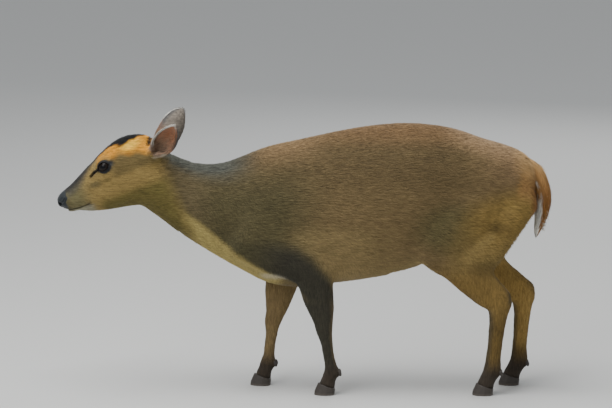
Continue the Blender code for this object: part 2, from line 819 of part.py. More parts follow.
def legs(flesh):
    """All four legs, from the body down to the coronets."""
    made = []
    for kind, joint_sets in (("foreleg", FORE_JOINTS), ("hindleg", HIND_JOINTS)):
        point, slope = LEG_PLANES[kind]
        up = Vector((-math.sin(math.radians(slope)), 0, math.cos(math.radians(slope))))
        front, back = LEG_SPANS[kind]
        for name, side in SIDES.items():
            coronet, down = hoof_plane(joint_sets[name], side)
            cuts = [
                (point, up, -GAP / 2),
                (coronet, down, -GAP / 2),
                ((0, side * LEG_INNER[kind], 0), (0, -side, 0), 0),
                ((front, 0, 0), (-1, 0, 0), 0),
                ((back, 0, 0), (1, 0, 0), 0),
            ]
            made.append(take(flesh, kind + "_" + name, cuts))
    return made


def hooves():
    made = []
    for kind, joint_sets in (("fore", FORE_JOINTS), ("hind", HIND_JOINTS)):
        for name, side in SIDES.items():
            for half, inner in (("outer", side), ("inner", -side)):
                made.append(claw("_".join(("hoof", kind, name, half)), joint_sets[name], side, inner))
    return made


def torso(flesh):
    point, normal = NECK_CUT
    piece = take(flesh, "torso", [(point, -Vector(normal), -GAP / 2)])
    for kind in LEG_PLANES:
        for side in SIDES.values():
            boolean(piece, leg_block(kind, side, GAP / 2), "DIFFERENCE")
    boolean(piece, tail_form("bed", GAP, BED_SCALING), "DIFFERENCE")
    return keep_largest(piece)


def neck(flesh):
    (front, front_normal), (back, back_normal) = HEAD_CUT, NECK_CUT
    cuts = [(front, -Vector(front_normal), -GAP / 2), (back, back_normal, -GAP / 2)]
    return take(flesh, "neck", cuts)


def eye_axes(side):
    """The directions along the lids, up the eye and out of it."""
    slant = math.radians(EYE_SLANT - HEAD_TILT)
    along = head_turn() @ Vector((math.cos(slant), 0, math.sin(slant)))
    out = Vector((-0.22, side * 0.97, 0.1)).normalized()
    along = (along - out * along.dot(out)).normalized()
    up = along.cross(out) * side
    return along, up, out


def lid_curve(side, count):
    """The almond opening of an eye as points about the eye's centre."""
    along, up, _ = eye_axes(side)
    points = []
    for angle in np.arange(count) * TURN / count:
        across, rise = math.cos(angle), math.sin(angle)
        height = EYE_HALF_HEIGHT * (1 - abs(across) ** 2.2) ** EYE_CORNER * np.sign(rise)
        points.append(along * across * EYE_HALF_LENGTH + up * height)
    return points


def eye_centre(side):
    along, height, out = EYE_CENTRE
    return in_head(along, side * out, height)


def eye_opening(side):
    """A prism with the outline of the opening, from inside the eye outwards."""
    _, _, out = eye_axes(side)
    centre = eye_centre(side)
    ring = lid_curve(side, SMALL_RING_POINTS)
    return loft("opening", [[centre + p + out * far for p in ring] for far in (2, 40)])


def surface_hit(tree, target, way):
    """The outermost point of a surface along a line through the target."""
    hit, _, _, _ = tree.ray_cast((target + way * 100) * MM, -way)
    if hit is None:
        hit, _, _, _ = tree.find_nearest(target * MM)
    return hit / MM


def mouth_groove(head):
    """A thin wedge round the lips, from one corner of the mouth to the other."""
    tree = BVHTree.FromObject(head, bpy.context.evaluated_depsgraph_get())
    (first, front_up), *rest = MOUTH_LINE
    stations = [(first + 14, front_up + (rest[0][1] - front_up) * 0.5 * angle / 90, angle)
                for angle in (0, 30, 60)]
    stations += [(along, up, 90) for along, up in rest]
    half = []
    for along, up, angle in stations:
        turn = math.radians(angle)
        way = in_head(-math.cos(turn), math.sin(turn), 0) - in_head(0, 0, 0)
        half.append((in_head(along, 0, up), way))
    mirrored = [(p, Vector((w.x, -w.y, w.z))) for p, w in half[:0:-1]]
    over = in_head(0, 0, 1) - in_head(0, 0, 0)
    rings = []
    path = mirrored + half
    for i, (target, way) in enumerate(path):
        skin = surface_hit(tree, target, way)
        end = i in (0, len(path) - 1)
        depth = MOUTH_DEPTH * (0.3 if end else 1)
        height = MOUTH_HEIGHT * (0.5 if end else 1)
        rings.append([
            skin + way * 1.5 + over * height,
            skin - way * depth + over * height * 0.3,
            skin - way * depth - over * height * 0.3,
            skin + way * 1.5 - over * height,
        ])
    return loft("mouth", rings)


def nose_region(shift):
    """A wedge in front of the muzzle that holds the nose pad, moved back by this much."""
    outline = [(NOSE_BACK_LOW + shift, NOSE_BOTTOM - shift), (NOSE_BACK_HIGH + shift, 30),
               (-30, 30), (-30, NOSE_BOTTOM - shift)]
    rings = [[in_head(a, side, u) for a, u in outline] for side in (-30, 30)]
    return loft("nose_region", rings)


def nostrils():
    cuts = []
    for side in SIDES.values():
        turn = head_turn() @ Matrix.Rotation(math.radians(-side * 35), 4, "Z")
        cuts.append(ball("nostril", in_head(0.5, side * 7.6, -3), (6.5, 3, 3.6), turn, 2))
    return cuts


def head_and_nose(flesh):
    """The head with its lids, mouth, ear seats and gland slits, and the nose pad on its own."""
    point, normal = HEAD_CUT
    head = take(flesh, "head", [(point, normal, -GAP / 2)])
    eyes = []
    for name, side in SIDES.items():
        boolean(head, ball("lids", eye_centre(side), (EYE_RADIUS + LID,) * 3), "UNION")
        boolean(head, eye_opening(side), "DIFFERENCE")
        boolean(head, ball("socket", eye_centre(side), (EYE_RADIUS + GAP,) * 3), "DIFFERENCE")
        eyes.append(ball("eye_" + name, eye_centre(side), (EYE_RADIUS,) * 3))
        slit = head_turn() @ Matrix.Rotation(-math.radians(SLIT_SLANT), 4, "Y")
        place = in_head(SLIT_CENTRE[0], side * SLIT_CENTRE[2], SLIT_CENTRE[1])
        boolean(head, ball("slit", place, (8, 6, 1.4), slit, 2), "DIFFERENCE")
        boolean(head, ear_seat(name, SEAT_RADIUS, SEAT_RADIUS, -GAP, 60), "DIFFERENCE")
        boolean(head, ear_seat(name, SEAT_FOOT, EAR_SHAPE[0][1], -SEAT_HEIGHT, -GAP), "UNION")
    nose = copy_of(head, "nose")
    boolean(nose, nose_region(-GAP / 2), "INTERSECT")
    boolean(head, nose_region(GAP / 2), "DIFFERENCE")
    for pit in nostrils():
        boolean(nose, pit, "DIFFERENCE")
    boolean(head, mouth_groove(head), "DIFFERENCE")
    return [keep_largest(head), keep_largest(nose), *eyes]


def ear_seat(name, low_radius, high_radius, low, high):
    """A round block about the ear's line, from low to high above its root."""
    root, tip, _ = ear_points(name)
    lean = (tip - root).normalized()
    side = lean.orthogonal().normalized()
    other = lean.cross(side)
    rings = [
        [root + lean * far + (side * math.cos(a) + other * math.sin(a)) * radius
         for a in np.arange(SMALL_RING_POINTS) * TURN / SMALL_RING_POINTS]
        for far, radius in ((low, low_radius), (high, high_radius))
    ]
    return loft("seat", rings)


def material(name, colour, roughness):
    made = bpy.data.materials.new(name)
    made.use_nodes = True
    shader = made.node_tree.nodes["Principled BSDF"]
    shader.inputs["Base Color"].default_value = (*colour, 1)
    shader.inputs["Roughness"].default_value = roughness
    shader.inputs["Metallic"].default_value = 0
    return made


def finish(obj, look):
    obj.data.materials.clear()
    obj.data.materials.append(look)
    obj.data.shade_smooth()


def build():
    clear_scene()
    body = fuse(body_blockout(), BODY_VOXEL)
    pieces = [torso(body), neck(body), *legs(body)]
    bpy.data.objects.remove(body)
    skull = fuse(head_blockout(), HEAD_VOXEL)
    pieces += head_and_nose(skull)
    bpy.data.objects.remove(skull)
    pieces += [ear(name) for name in SIDES]
    pieces += [tail(), *hooves()]
    looks = {name: material(name, colour, roughness) for name, (colour, roughness) in LOOKS.items()}
    for piece in pieces:
        finish(piece, looks[LOOK_OF[piece.name.split("_")[0]]])


build()
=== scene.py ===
# %% [markdown]
# # A muntjac doe at life size
# The solids of a small deer come packed as a frame: body, neck, head, ears, legs, tail and hooves,
# each parted from the next by a hair's breadth. A museum model shows none of those cuts. This
# lesson lays one skin over them all, carves the fine forms of the face into it, and covers it with
# short flat hair, tuft by tuft. She faces -X, and her left side is towards -Y, where the camera is.

# %% Load the frame
import math

import bmesh
import bpy
import numpy as np
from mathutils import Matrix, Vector
from mathutils.bvhtree import BVHTree


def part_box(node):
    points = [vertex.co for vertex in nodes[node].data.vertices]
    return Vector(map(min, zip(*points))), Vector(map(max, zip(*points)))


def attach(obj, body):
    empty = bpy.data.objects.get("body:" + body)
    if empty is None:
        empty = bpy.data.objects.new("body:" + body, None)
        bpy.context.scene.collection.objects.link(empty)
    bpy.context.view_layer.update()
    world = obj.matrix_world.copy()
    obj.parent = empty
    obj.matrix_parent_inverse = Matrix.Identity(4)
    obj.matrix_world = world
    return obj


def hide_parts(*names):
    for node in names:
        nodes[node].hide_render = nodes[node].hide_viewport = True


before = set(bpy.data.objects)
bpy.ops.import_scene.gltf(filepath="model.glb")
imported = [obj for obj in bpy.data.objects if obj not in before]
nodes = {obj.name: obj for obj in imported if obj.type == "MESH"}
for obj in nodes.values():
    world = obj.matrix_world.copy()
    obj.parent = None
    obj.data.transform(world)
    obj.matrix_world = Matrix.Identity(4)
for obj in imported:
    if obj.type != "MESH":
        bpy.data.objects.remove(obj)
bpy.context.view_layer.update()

MM = 0.001
LEFT, RIGHT = -1, 1
SIDES = {"left": LEFT, "right": RIGHT}
print("solids:", len(nodes), "triangles:", sum(len(o.data.polygons) for o in nodes.values()))

# %% [markdown]
# ## Small tools for arrays
# Every step below treats a surface as arrays of points, so that a whole coat is worked out at
# once. These helpers ease a value between two limits, read a mesh into arrays and turn arrays
# back into a mesh.

# %% Helpers for arrays and meshes
def ease(value, start, end):
    """0 before start, 1 after end and a smooth climb between them. Start may lie above end."""
    share = np.clip((value - start) / (end - start), 0, 1)
    return share * share * (3 - 2 * share)


def blend(low, high, share):
    share = np.asarray(share)[..., None]
    return low * (1 - share) + high * share


def unit(vectors):
    return vectors / np.maximum(np.linalg.norm(vectors, axis=-1, keepdims=True), 1e-9)


def points_of(mesh):
    points = np.empty(len(mesh.vertices) * 3, np.float32)
    mesh.vertices.foreach_get("co", points)
    return points.reshape(-1, 3).astype(float)


def normals_of(mesh):
    normals = np.empty(len(mesh.vertices) * 3, np.float32)
    mesh.vertex_normals.foreach_get("vector", normals)
    return normals.reshape(-1, 3).astype(float)


def triangles_of(mesh):
    mesh.calc_loop_triangles()
    corners = np.empty(len(mesh.loop_triangles) * 3, np.int32)
    mesh.loop_triangles.foreach_get("vertices", corners)
    return corners.reshape(-1, 3)


def put_points(mesh, points):
    mesh.vertices.foreach_set("co", points.astype(np.float32).ravel())
    mesh.update()


def new_object(name, mesh):
    obj = bpy.data.objects.new(name, mesh)
    bpy.context.scene.collection.objects.link(obj)
    return obj


def mesh_from(name, points, faces):
    """A mesh from an array of points and an array of faces that all have as many corners."""
    mesh = bpy.data.meshes.new(name)
    mesh.vertices.add(len(points))
    mesh.vertices.foreach_set("co", points.astype(np.float32).ravel())
    mesh.loops.add(faces.size)
    mesh.loops.foreach_set("vertex_index", faces.astype(np.int32).ravel())
    mesh.polygons.add(len(faces))
    mesh.polygons.foreach_set("loop_start", np.arange(0, faces.size, faces.shape[1], dtype=np.int32))
    mesh.update(calc_edges=True)
    mesh.shade_smooth()
    return mesh


def apply_modifiers(obj):
    graph = bpy.context.evaluated_depsgraph_get()
    graph.update()
    made = bpy.data.meshes.new_from_object(obj.evaluated_get(graph))
    obj.modifiers.clear()
    old, obj.data = obj.data, made
    bpy.data.meshes.remove(old)
    return obj


def mesh_of(bm, name):
    """Turns a BMesh into a mesh, and frees it."""
    mesh = bpy.data.meshes.new(name)
    bm.to_mesh(mesh)
    bm.free()
    return mesh


def add_tube(bm, rings):
    """A tube through rings that all have as many points, with a lid at both ends."""
    rows = [[bm.verts.new(p) for p in ring] for ring in rings]
    around = len(rows[0])
    for near, far in zip(rows, rows[1:]):
        for i in range(around):
            j = (i + 1) % around
            bm.faces.new((near[i], near[j], far[j], far[i]))
    bm.faces.new(rows[0])
    bm.faces.new(rows[-1][::-1])


def keep_floats(mesh, name, values):
    """Stores one number, or one colour, for each vertex, for the materials to read."""
    colour = values.ndim == 2
    layer = mesh.attributes.new(name, "FLOAT_COLOR" if colour else "FLOAT", "POINT")
    if colour:
        values = np.concatenate([values, np.ones((len(values), 1))], axis=1)
    layer.data.foreach_set("color" if colour else "value", values.astype(np.float32).ravel())

# %% [markdown]
# ## Places on the animal
# The face is easier to carve in a frame of its own: back along the skull, up across it and out to the side,
# from the middle of the nose. A few lines in space, such as the axis of an ear, say where everything else
# lies.

# %% The head's frame and the ears' axes
NOSE = np.array((-0.428, 0, 0.337))
TILT = math.radians(22)
BACK = np.array((math.cos(TILT), 0, math.sin(TILT)))
OVER = np.array((-math.sin(TILT), 0, math.cos(TILT)))
EAR_ROOT = (-259, 34, 430)
EAR_TIPS = {"left": (-223, 86, 482), "right": (-213, 60, 490)}
EAR_OPENINGS = {"left": (-0.62, 0.72, -0.33), "right": (-0.41, 0.86, -0.07)}
EAR_SHARES = (0, 0.12, 0.28, 0.48, 0.68, 0.85, 0.95, 1)
EAR_WIDTHS = (12.5, 16, 20.6, 22, 20.5, 14.5, 8, 3)
EAR_TAPERS = {"left": 0.57, "right": 0.10}
EAR_SWAYS = {"left": (3.2, 1), "right": (2.8, 1.7)}
EAR_ARCS = (160, 150, 128, 108, 96, 88, 84, 80)


def in_head(points):
    """Distance back from the nose, out from the mid plane and up, in millimetres."""
    from_nose = (points - NOSE) / MM
    return from_nose @ BACK, from_nose[..., 1], from_nose @ OVER


def from_head(along, side, up):
    return NOSE + (BACK * along + OVER * up + np.array((0, side, 0))) * MM


def ear_axes(name):
    """Root, way to the tip, way across, way that the cup opens, and length."""
    flip = np.array((1, SIDES[name], 1))
    root, tip = np.array(EAR_ROOT) * flip * MM, np.array(EAR_TIPS[name]) * flip * MM
    length = np.linalg.norm(tip - root)
    axis = (tip - root) / length
    opening = np.array(EAR_OPENINGS[name]) * flip
    opening = unit(opening - axis * (opening @ axis))
    return root, axis, np.cross(axis, opening), opening, length


def ear_sway(name, share):
    """How far the ear's middle stands along its way across, at shares of its length."""
    reach, waves = EAR_SWAYS[name]
    return -SIDES[name] * reach * MM * np.sin(math.pi * waves * np.clip(share, 0, 1))


def in_ear(name, points):
    """Share of the way to the ear's tip, angle from its back in degrees, distance from its axis."""
    root, axis, across, opening, length = ear_axes(name)
    from_root = points - root
    share = (from_root @ axis) / length
    angle = np.degrees(np.arctan2(from_root @ across - ear_sway(name, share), -(from_root @ opening)))
    reach = np.linalg.norm(from_root - (share * length)[:, None] * axis, axis=1)
    return share, angle, reach

# %% [markdown]
# ## One skin for body, neck and legs
# A boolean union of the solids would keep their facets and the thin cuts between them. A voxel
# remesh does better: the solids are grown by a fraction of a millimetre so that they touch, and the
# remesh draws one even surface round all of them, which is then smoothed. The tail's solid
# carries its locks, so the skin gets a slim core of its own there.

# %% Fuse the solids
TAIL = [(376, 405, 30, 30), (396, 391, 32, 36), (411, 366, 31, 42), (416, 336, 31, 44),
        (413.5, 308, 24, 38), (408.5, 290, 15, 26), (405.5, 281, 8, 13)]
BODY_VOXEL = 3.0
HEAD_VOXEL = 1.3
SOFT_STEPS = 20


def solids_of(*kinds):
    return [n for n in nodes if n.split("_")[0] in kinds]


def tail_line(shares):
    """Middle, thickness and width of the tail at shares of its length, smoothly between its rows."""
    rows = np.array([(x, 0, z, thick, wide) for x, z, thick, wide in TAIL], float)
    along = np.concatenate([[0], np.cumsum(np.linalg.norm(np.diff(rows[:, :3], axis=0), axis=1))])
    slopes = np.gradient(rows, along, axis=0)
    at = np.clip(shares, 0, 1) * along[-1]
    k = np.clip(np.searchsorted(along, at, side="right") - 1, 0, len(rows) - 2)
    span = (along[k + 1] - along[k])[:, None]
    t = (at - along[k])[:, None] / span
    value = (rows[k] * (1 + 2 * t) * (1 - t) ** 2 + rows[k + 1] * t ** 2 * (3 - 2 * t)
             + slopes[k] * span * t * (1 - t) ** 2 - slopes[k + 1] * span * t ** 2 * (1 - t))
    return value[:, :3] * MM, value[:, 3] * MM, value[:, 4] * MM


def tail_core(count=22, around=20):
    shares = np.linspace(0, 0.94, count)
    middles, thick, wide = tail_line(shares)
    slim = np.interp(shares, (0.2, 0.55), (1, 0.55))
    downs = unit(np.gradient(middles, axis=0))
    outs = np.stack([-downs[:, 2], 0 * shares, downs[:, 0]], axis=1)
    angles = np.arange(around) * math.tau / around
    out_reach = np.cos(angles) * (thick * slim / 2)[:, None]
    side_reach = np.sin(angles) * (wide * slim / 2)[:, None]
    bm = bmesh.new()
    add_tube(bm, middles[:, None] + outs[:, None] * out_reach[..., None]
             + np.array((0, 1, 0)) * side_reach[..., None])
    bmesh.ops.recalc_face_normals(bm, faces=bm.faces)
    return mesh_of(bm, "tail_core")


def fused(name, meshes, voxel, grow, softness, passes):
    """One smooth surface round the meshes. softness gives each point's share of each smoothing."""
    bm = bmesh.new()
    for mesh in meshes:
        bm.from_mesh(mesh)
    bmesh.ops.remove_doubles(bm, verts=bm.verts, dist=1e-5)
    bm.normal_update()
    for vert in bm.verts:
        vert.co += vert.normal * grow * MM
    obj = new_object(name, mesh_of(bm, name))
    remesh = obj.modifiers.new("fuse", "REMESH")
    remesh.mode = "VOXEL"
    remesh.voxel_size = voxel * MM
    apply_modifiers(obj)
    for weight, rounds in zip(softness(points_of(obj.data)), passes):
        group = obj.vertex_groups.new(name="soft")
        steps = np.round(weight * SOFT_STEPS).astype(int)
        for step in range(1, SOFT_STEPS + 1):
            group.add(np.flatnonzero(steps == step).tolist(), step / SOFT_STEPS, "REPLACE")
        smoother = obj.modifiers.new("smooth", "SMOOTH")
        smoother.factor = 0.5
        smoother.iterations = rounds
        smoother.vertex_group = group.name
    return apply_modifiers(obj)


def body_softness(points):
    trunk = ease(points[:, 2], 0.17, 0.27) * ease(points[:, 0], 0.405, 0.37)
    return [trunk, np.ones(len(points))]


def head_softness(points):
    ears = np.zeros(len(points))
    for name in SIDES:
        share, _, reach = in_ear(name, points)
        ears = np.maximum(ears, ease(share, 0.22, 0.36) * ease(reach, 0.030, 0.026))
    return [1 - ears, np.ones(len(points))]


body_parts = [nodes[n].data for n in solids_of("torso", "neck", "foreleg", "hindleg")]
head_parts = [nodes[n].data for n in solids_of("neck", "head", "nose", "eye", "ear")]
body = fused("body_form", body_parts + [tail_core()], BODY_VOXEL, 0.6, body_softness, (40, 3))
head = fused("head_form", head_parts, HEAD_VOXEL, 0.8, head_softness, (22, 3))
print("body form:", len(body.data.vertices), "head form:", len(head.data.vertices), "points")

# %% [markdown]
# ## Stitching head to body
# The face needs a much finer mesh than the flanks. Making the whole skin that fine would waste
# most of it, so the head is a separate fine mesh. Both are cut at one plane through the neck, and
# a strip of faces bridges the two rims, which makes one surface without a seam.

# %% Cut and bridge at the neck
SEAM_POINT = np.array((-0.215, 0, 0.345))
SEAM_NORMAL = np.array((0.985, 0, -0.17))
SEAM_GAP = 0.0025
SEAM_REACH = 0.012


def half(obj, shift, keep_front):
    bm = bmesh.new()
    bm.from_mesh(obj.data)
    bmesh.ops.bisect_plane(bm, geom=[*bm.verts, *bm.edges, *bm.faces], dist=1e-6,
                           plane_co=SEAM_POINT + SEAM_NORMAL * shift, plane_no=SEAM_NORMAL,
                           clear_outer=keep_front, clear_inner=not keep_front)
    bpy.data.objects.remove(obj)
    return mesh_of(bm, "half")


def stitched(front, back):
    bm = bmesh.new()
    bm.from_mesh(front)
    bm.from_mesh(back)
    bmesh.ops.bridge_loops(bm, edges=[e for e in bm.edges if e.is_boundary])
    bmesh.ops.triangulate(bm, faces=[f for f in bm.faces if len(f.verts) > 4])
    bmesh.ops.recalc_face_normals(bm, faces=bm.faces)
    near = [v for v in bm.verts if abs((np.array(v.co) - SEAM_POINT) @ SEAM_NORMAL) < SEAM_REACH]
    for _ in range(8):
        bmesh.ops.smooth_vert(bm, verts=near, factor=0.5,
                              use_axis_x=True, use_axis_y=True, use_axis_z=True)
    print("open edges after the bridge:", sum(e.is_boundary for e in bm.edges))
    return new_object("skin", mesh_of(bm, "skin"))


skin = stitched(half(head, -SEAM_GAP / 2, True), half(body, SEAM_GAP / 2, False))

# %% [markdown]
# ## Carving the face
# Lids, lips, nostrils and the slit of the scent gland are folds of one to three millimetres. They
# could be sculpted by hand, but a few formulas in the head's frame are easier to adjust: each
# pushes the points near a line or an oval in or out. The mesh is refined there first, so that the
# folds have enough points to bend.

# %% Fold formulas
EYE_PLACE = (98.5, 31, 30)
EYE_RADIUS = 12
EYE_LENGTH = 10.8
EYE_HEIGHT = 7.2
EYE_SLANT = math.radians(28)
LID_CURVE = (2.2, 0.58)
SOCKET_DEPTH = 1.6
FAR = 99.0
SLIT = [(86, 29), (79, 27.5), (68, 22)]
MOUTH = [(-4, -16), (14, -20.5), (25, -22.2), (36, -22.4), (47, -21.6)]
NOSTRIL = [(0.5, 7.2, -4), (3.5, 10.6, -4), (7.5, 13.4, -1.4), (11, 14.4, 2.2)]


def eye_axes(side):
    """Middle of the eye, and the ways along its lids, up and out."""
    out = unit(np.array((-0.22, side * 0.97, 0.1)))
    along = np.array((math.cos(EYE_SLANT), 0, math.sin(EYE_SLANT)))
    along = unit(along - out * (along @ out))
    place, across, up = EYE_PLACE
    return from_head(place, side * across, up), along, np.cross(along, out) * side, out


def lid_rim(share):
    """Half the height of the open eye, at a share of its half length from the middle."""
    along, up = LID_CURVE
    return EYE_HEIGHT * (1 - share ** along) ** up


def eye_distance(points, side):
    """How far each point is outside the rim of the lids, and its place up and out."""
    middle, along, up, out = eye_axes(side)
    from_eye = (points - middle) / MM
    a, b, c = from_eye @ along, from_eye @ up, from_eye @ out
    share = np.clip(np.abs(a) / EYE_LENGTH, 0, 1)
    beyond = np.maximum(np.abs(a) - EYE_LENGTH, 0)
    gap = np.where(beyond > 0, np.hypot(beyond, b), np.abs(b) - lid_rim(share))
    return np.where(c > 0, gap, FAR), b, c


def line_distance(line, *places):
    """Distance of points from a line through several points, and the share along it."""
    places = np.stack(places, axis=1)
    best = np.full(len(places), 1e9)
    share = np.zeros(len(places))
    count = len(line) - 1
    for i in range(count):
        start, step = np.array(line[i], float), np.subtract(line[i + 1], line[i])
        t = np.clip(((places - start) @ step) / (step @ step), 0, 1)
        gap = np.linalg.norm(places - start - t[:, None] * step, axis=1)
        share = np.where(gap < best, (i + t) / count, share)
        best = np.minimum(best, gap)
    return best, share


def refine(mesh, wanted):
    """Splits the edges that have both ends in the wanted places."""
    chosen = wanted(points_of(mesh))
    bm = bmesh.new()
    bm.from_mesh(mesh)
    edges = [e for e in bm.edges if chosen[e.verts[0].index] and chosen[e.verts[1].index]]
    bmesh.ops.subdivide_edges(bm, edges=edges, cuts=1, use_grid_fill=True)
    bmesh.ops.triangulate(bm, faces=[f for f in bm.faces if len(f.verts) > 4])
    bm.to_mesh(mesh)
    bm.free()


def face_lines(points):
    """Distance of points from the nearer eye's rim, gland slit and nostril, and from the mouth."""
    along, side, up = in_head(points)
    out = np.abs(side)
    eyes = np.minimum(eye_distance(points, LEFT)[0], eye_distance(points, RIGHT)[0])
    slit = np.where(out > 12, line_distance(SLIT, along, up)[0], FAR)
    mouth = np.where(along < 60, line_distance(MOUTH, along, up)[0], FAR)
    return eyes, slit, line_distance(NOSTRIL, along, out, up)[0], mouth


def fine_places(points):
    eyes, slit, nostril, mouth = face_lines(points)
    return (mouth < 3.5) | (slit < 5) | (nostril < 9) | (eyes < 5)


def finest_places(points):
    eyes, slit, nostril, _ = face_lines(points)
    return (slit < 2.5) | (nostril < 5) | (np.abs(eyes - 0.5) < 1.6)


refine(skin.data, fine_places)
refine(skin.data, finest_places)
print("skin after refining:", len(skin.data.vertices), "points")

# %% [markdown]
# ## Pushing the folds
# A groove is a bell curve of the distance from its line, taken away from the skin, and the rim
# beside it is another one, added. The lids lie on the eyeball, so they are made another way: the
# skin round the eye is drawn onto a ball a little larger than the eye, and within the rim of the
# lids onto one a little smaller, so that the eye itself shows there.

# %% Carve lids, lips, nostrils and gland slits
def ridge(distance, middle, width):
    """A bell curve of the distance from a line, highest where it is the middle."""
    return np.exp(-((distance - middle) / width) ** 2)


def carve(mesh):
    points, normals = points_of(mesh), normals_of(mesh)
    along, side, up = in_head(points)
    lift = np.zeros(len(points))
    _, slit, _, mouth = face_lines(points)
    lift -= 1.9 * ridge(mouth, 0, 0.9)
    lift += 0.6 * ridge(mouth, 2.6, 1.5)
    lift -= 3.0 * ridge(slit, 0, 1.4)
    lift += 0.9 * ridge(slit, 3.0, 1.2)
    nostril, share = line_distance(NOSTRIL, along, np.abs(side), up)
    width = np.interp(share, (0, 0.35, 1), (2.4, 1.9, 0.9))
    lift -= np.interp(share, (0, 0.35, 1), (1.6, 3.4, 1.6)) * ridge(nostril, 0, width)
    lift += 0.9 * ridge(nostril, 2.1 * width, 0.9 * width)
    points += normals * lift[:, None] * MM
    for turn in SIDES.values():
        middle = eye_axes(turn)[0]
        gap, above, ahead = eye_distance(points, turn)
        radial = unit(points - middle)
        lid = EYE_RADIUS + 1.9 + 0.5 * ridge(gap, 0.9, 0.7)
        lid = lid - 0.7 * ridge(gap, 3.8, 0.9) * (above > 0)
        radius = EYE_RADIUS - SOCKET_DEPTH + (lid - EYE_RADIUS + SOCKET_DEPTH) * ease(gap, 0, 0.6)
        shell = middle + radial * radius[:, None] * MM
        near = (ahead > 0) * ease(gap, 7.5, 2.0)
        points = blend(points, shell, near)
    put_points(mesh, points)


carve(skin.data)
skin.data.shade_smooth()

# %% [markdown]
# ## How deep the coat is, and which way it lies
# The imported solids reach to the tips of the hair. The skin must lie deeper by the coat's depth:
# between two and three millimetres on the trunk, one on the face and nearly nothing at the feet.
# Hair lies back along the body, down the legs and out along the ears. Both are worked out for any
# point, from zones that fade into each other.

# %% Coat depth and lie
def ear_part(points, start=0.10, full=0.26):
    """How far each point belongs to an ear, from 0 to 1, for each ear."""
    parts = {}
    for name in SIDES:
        share, _, reach = in_ear(name, points)
        parts[name] = ease(share, start, full) * ease(reach, 0.032, 0.028)
    return parts


def coat_depth(points):
    x, _, z = (points / MM).T
    along = in_head(points)[0]
    depth = 2.6 - 1.5 * ease(along, 230, 130) - 0.5 * ease(along, 60, 20)
    depth = np.where(x > -200, np.minimum(depth, 0.7 + 1.9 * ease(z, 150, 260)), depth)
    depth = np.where(z < 60, np.minimum(depth, 0.25 + 0.45 * ease(z, 22, 60)), depth)
    thin = np.maximum(*ear_part(points, -0.18, 0.0).values())
    depth = depth * (1 - thin) + np.minimum(depth, 0.5) * thin
    ears = np.maximum(*ear_part(points).values())
    return depth * (1 - ears) + 0.25 * ears


def lie(points, normals):
    """The way that the hair lies, along the skin: each zone goes over those before it."""
    x, _, z = (points / MM).T
    along, _, up = in_head(points)
    face = ease(along, 205, 160)
    zones = [((1.0, 0, -0.16), np.ones(len(points))),
             ((1.0, 0, -0.5), ease(z, 380, 270) * ease(x, -60, 20) * ease(x, 240, 180)),
             ((0.55, 0, -0.85), ease(x, -40, -110) * ease(x, -230, -170) * ease(z, 400, 300)),
             ((0.72, 0, -0.7), ease(x, 310, 390)),
             ((0.7, 0, -0.7), ease(x, 190, 260) * ease(z, 350, 260)),
             ((0.1, 0, -1.0), ease(x, -130, -110) * ease(x, 110, 80) * ease(z, 270, 215)),
             ((0.55, 0, -0.8), ease(x, 205, 225) * ease(z, 250, 210) * ease(z, 160, 185)),
             ((0, 0, -1.0), ease(z, 180, 160)),
             (BACK - OVER * 0.12, face),
             (BACK - OVER * 0.35, face * ease(up, 10, -25) * ease(along, 60, 100))]
    zones += [(ear_axes(name)[1], part) for name, part in ear_part(points).items()]
    way = np.zeros_like(points)
    for towards, share in zones:
        way = blend(way, np.array(towards), share)
    way = way - normals * np.sum(way * normals, axis=1, keepdims=True)
    return unit(way)


points, normals = points_of(skin.data), normals_of(skin.data)
put_points(skin.data, points - normals * coat_depth(points)[:, None] * MM)

# %% [markdown]
# ## The coat's colours
# A muntjac is foxy brown with a paler belly, a dark nape, dark forelegs and a bright face with a black wedge
# from the nose to the crown. The markings are painted as soft zones from each point's place and the way it
# faces. Some zones are painted light, in whole or in part: a sky highlight on the withers, the rump's top
# and the crest before the tail, a brighter spot on the orange band, a bluish sheen on the nose pad, shade
# under the neck and jaw, and muscle shading on the thigh. Skin and hair ask the same function, so they
# always agree.

# %% Markings
def paint(red, green, blue):
    """A colour given as screen values from 0 to 255, as the shader needs it."""
    value = np.array((red, green, blue)) / 255
    return np.where(value < 0.04045, value / 12.92, ((value + 0.055) / 1.055) ** 2.4)


FLANK = paint(121, 102, 68)
BACK_BROWN = paint(126, 99, 66)
WITHERS_AND_SKY_HIGHLIGHT = paint(152, 123, 86)
RUMP = paint(133, 107, 77)
BUTTOCK = paint(160, 122, 74)
RUMP_TOP_HIGHLIGHT = paint(166, 136, 100)
CREST_HIGHLIGHT = paint(204, 164, 108)
HAUNCH = paint(96, 87, 55)
SHOULDER = paint(90, 82, 54)
NECK = paint(112, 99, 70)
THROAT_SHADE = paint(98, 92, 46)
NAPE = paint(86, 88, 80)
THIGH = paint(141, 116, 63)
THIGH_LOW = paint(138, 117, 70)
BELLY = paint(150, 130, 86)
PALE = paint(210, 202, 180)
BRISKET = paint(180, 161, 98)
FORELEG = paint(60, 57, 46)
OLIVE = paint(82, 77, 52)
SHANK = paint(132, 107, 58)
FORE_INNER = paint(128, 108, 72)
FOOT = paint(58, 50, 41)
CHEEK = paint(163, 138, 82)
TEMPLE = paint(102, 88, 54)
MUZZLE = paint(116, 108, 74)
ORANGE = paint(226, 155, 46)
ORANGE_HIGHLIGHT = paint(255, 203, 72)
BLACK = paint(24, 24, 25)
BRIDGE = paint(36, 35, 34)
CHIN = paint(166, 161, 138)
PAD_AND_SHEEN = paint(34, 39, 42)
LID = paint(50, 52, 52)
EAR_BACK = paint(124, 115, 104)
EAR_EDGE = paint(68, 69, 71)
EAR_BASE = paint(140, 94, 62)
EAR_INSIDE = paint(178, 124, 92)
EAR_HOLLOW = paint(150, 124, 102)
WHITE = paint(230, 227, 216)
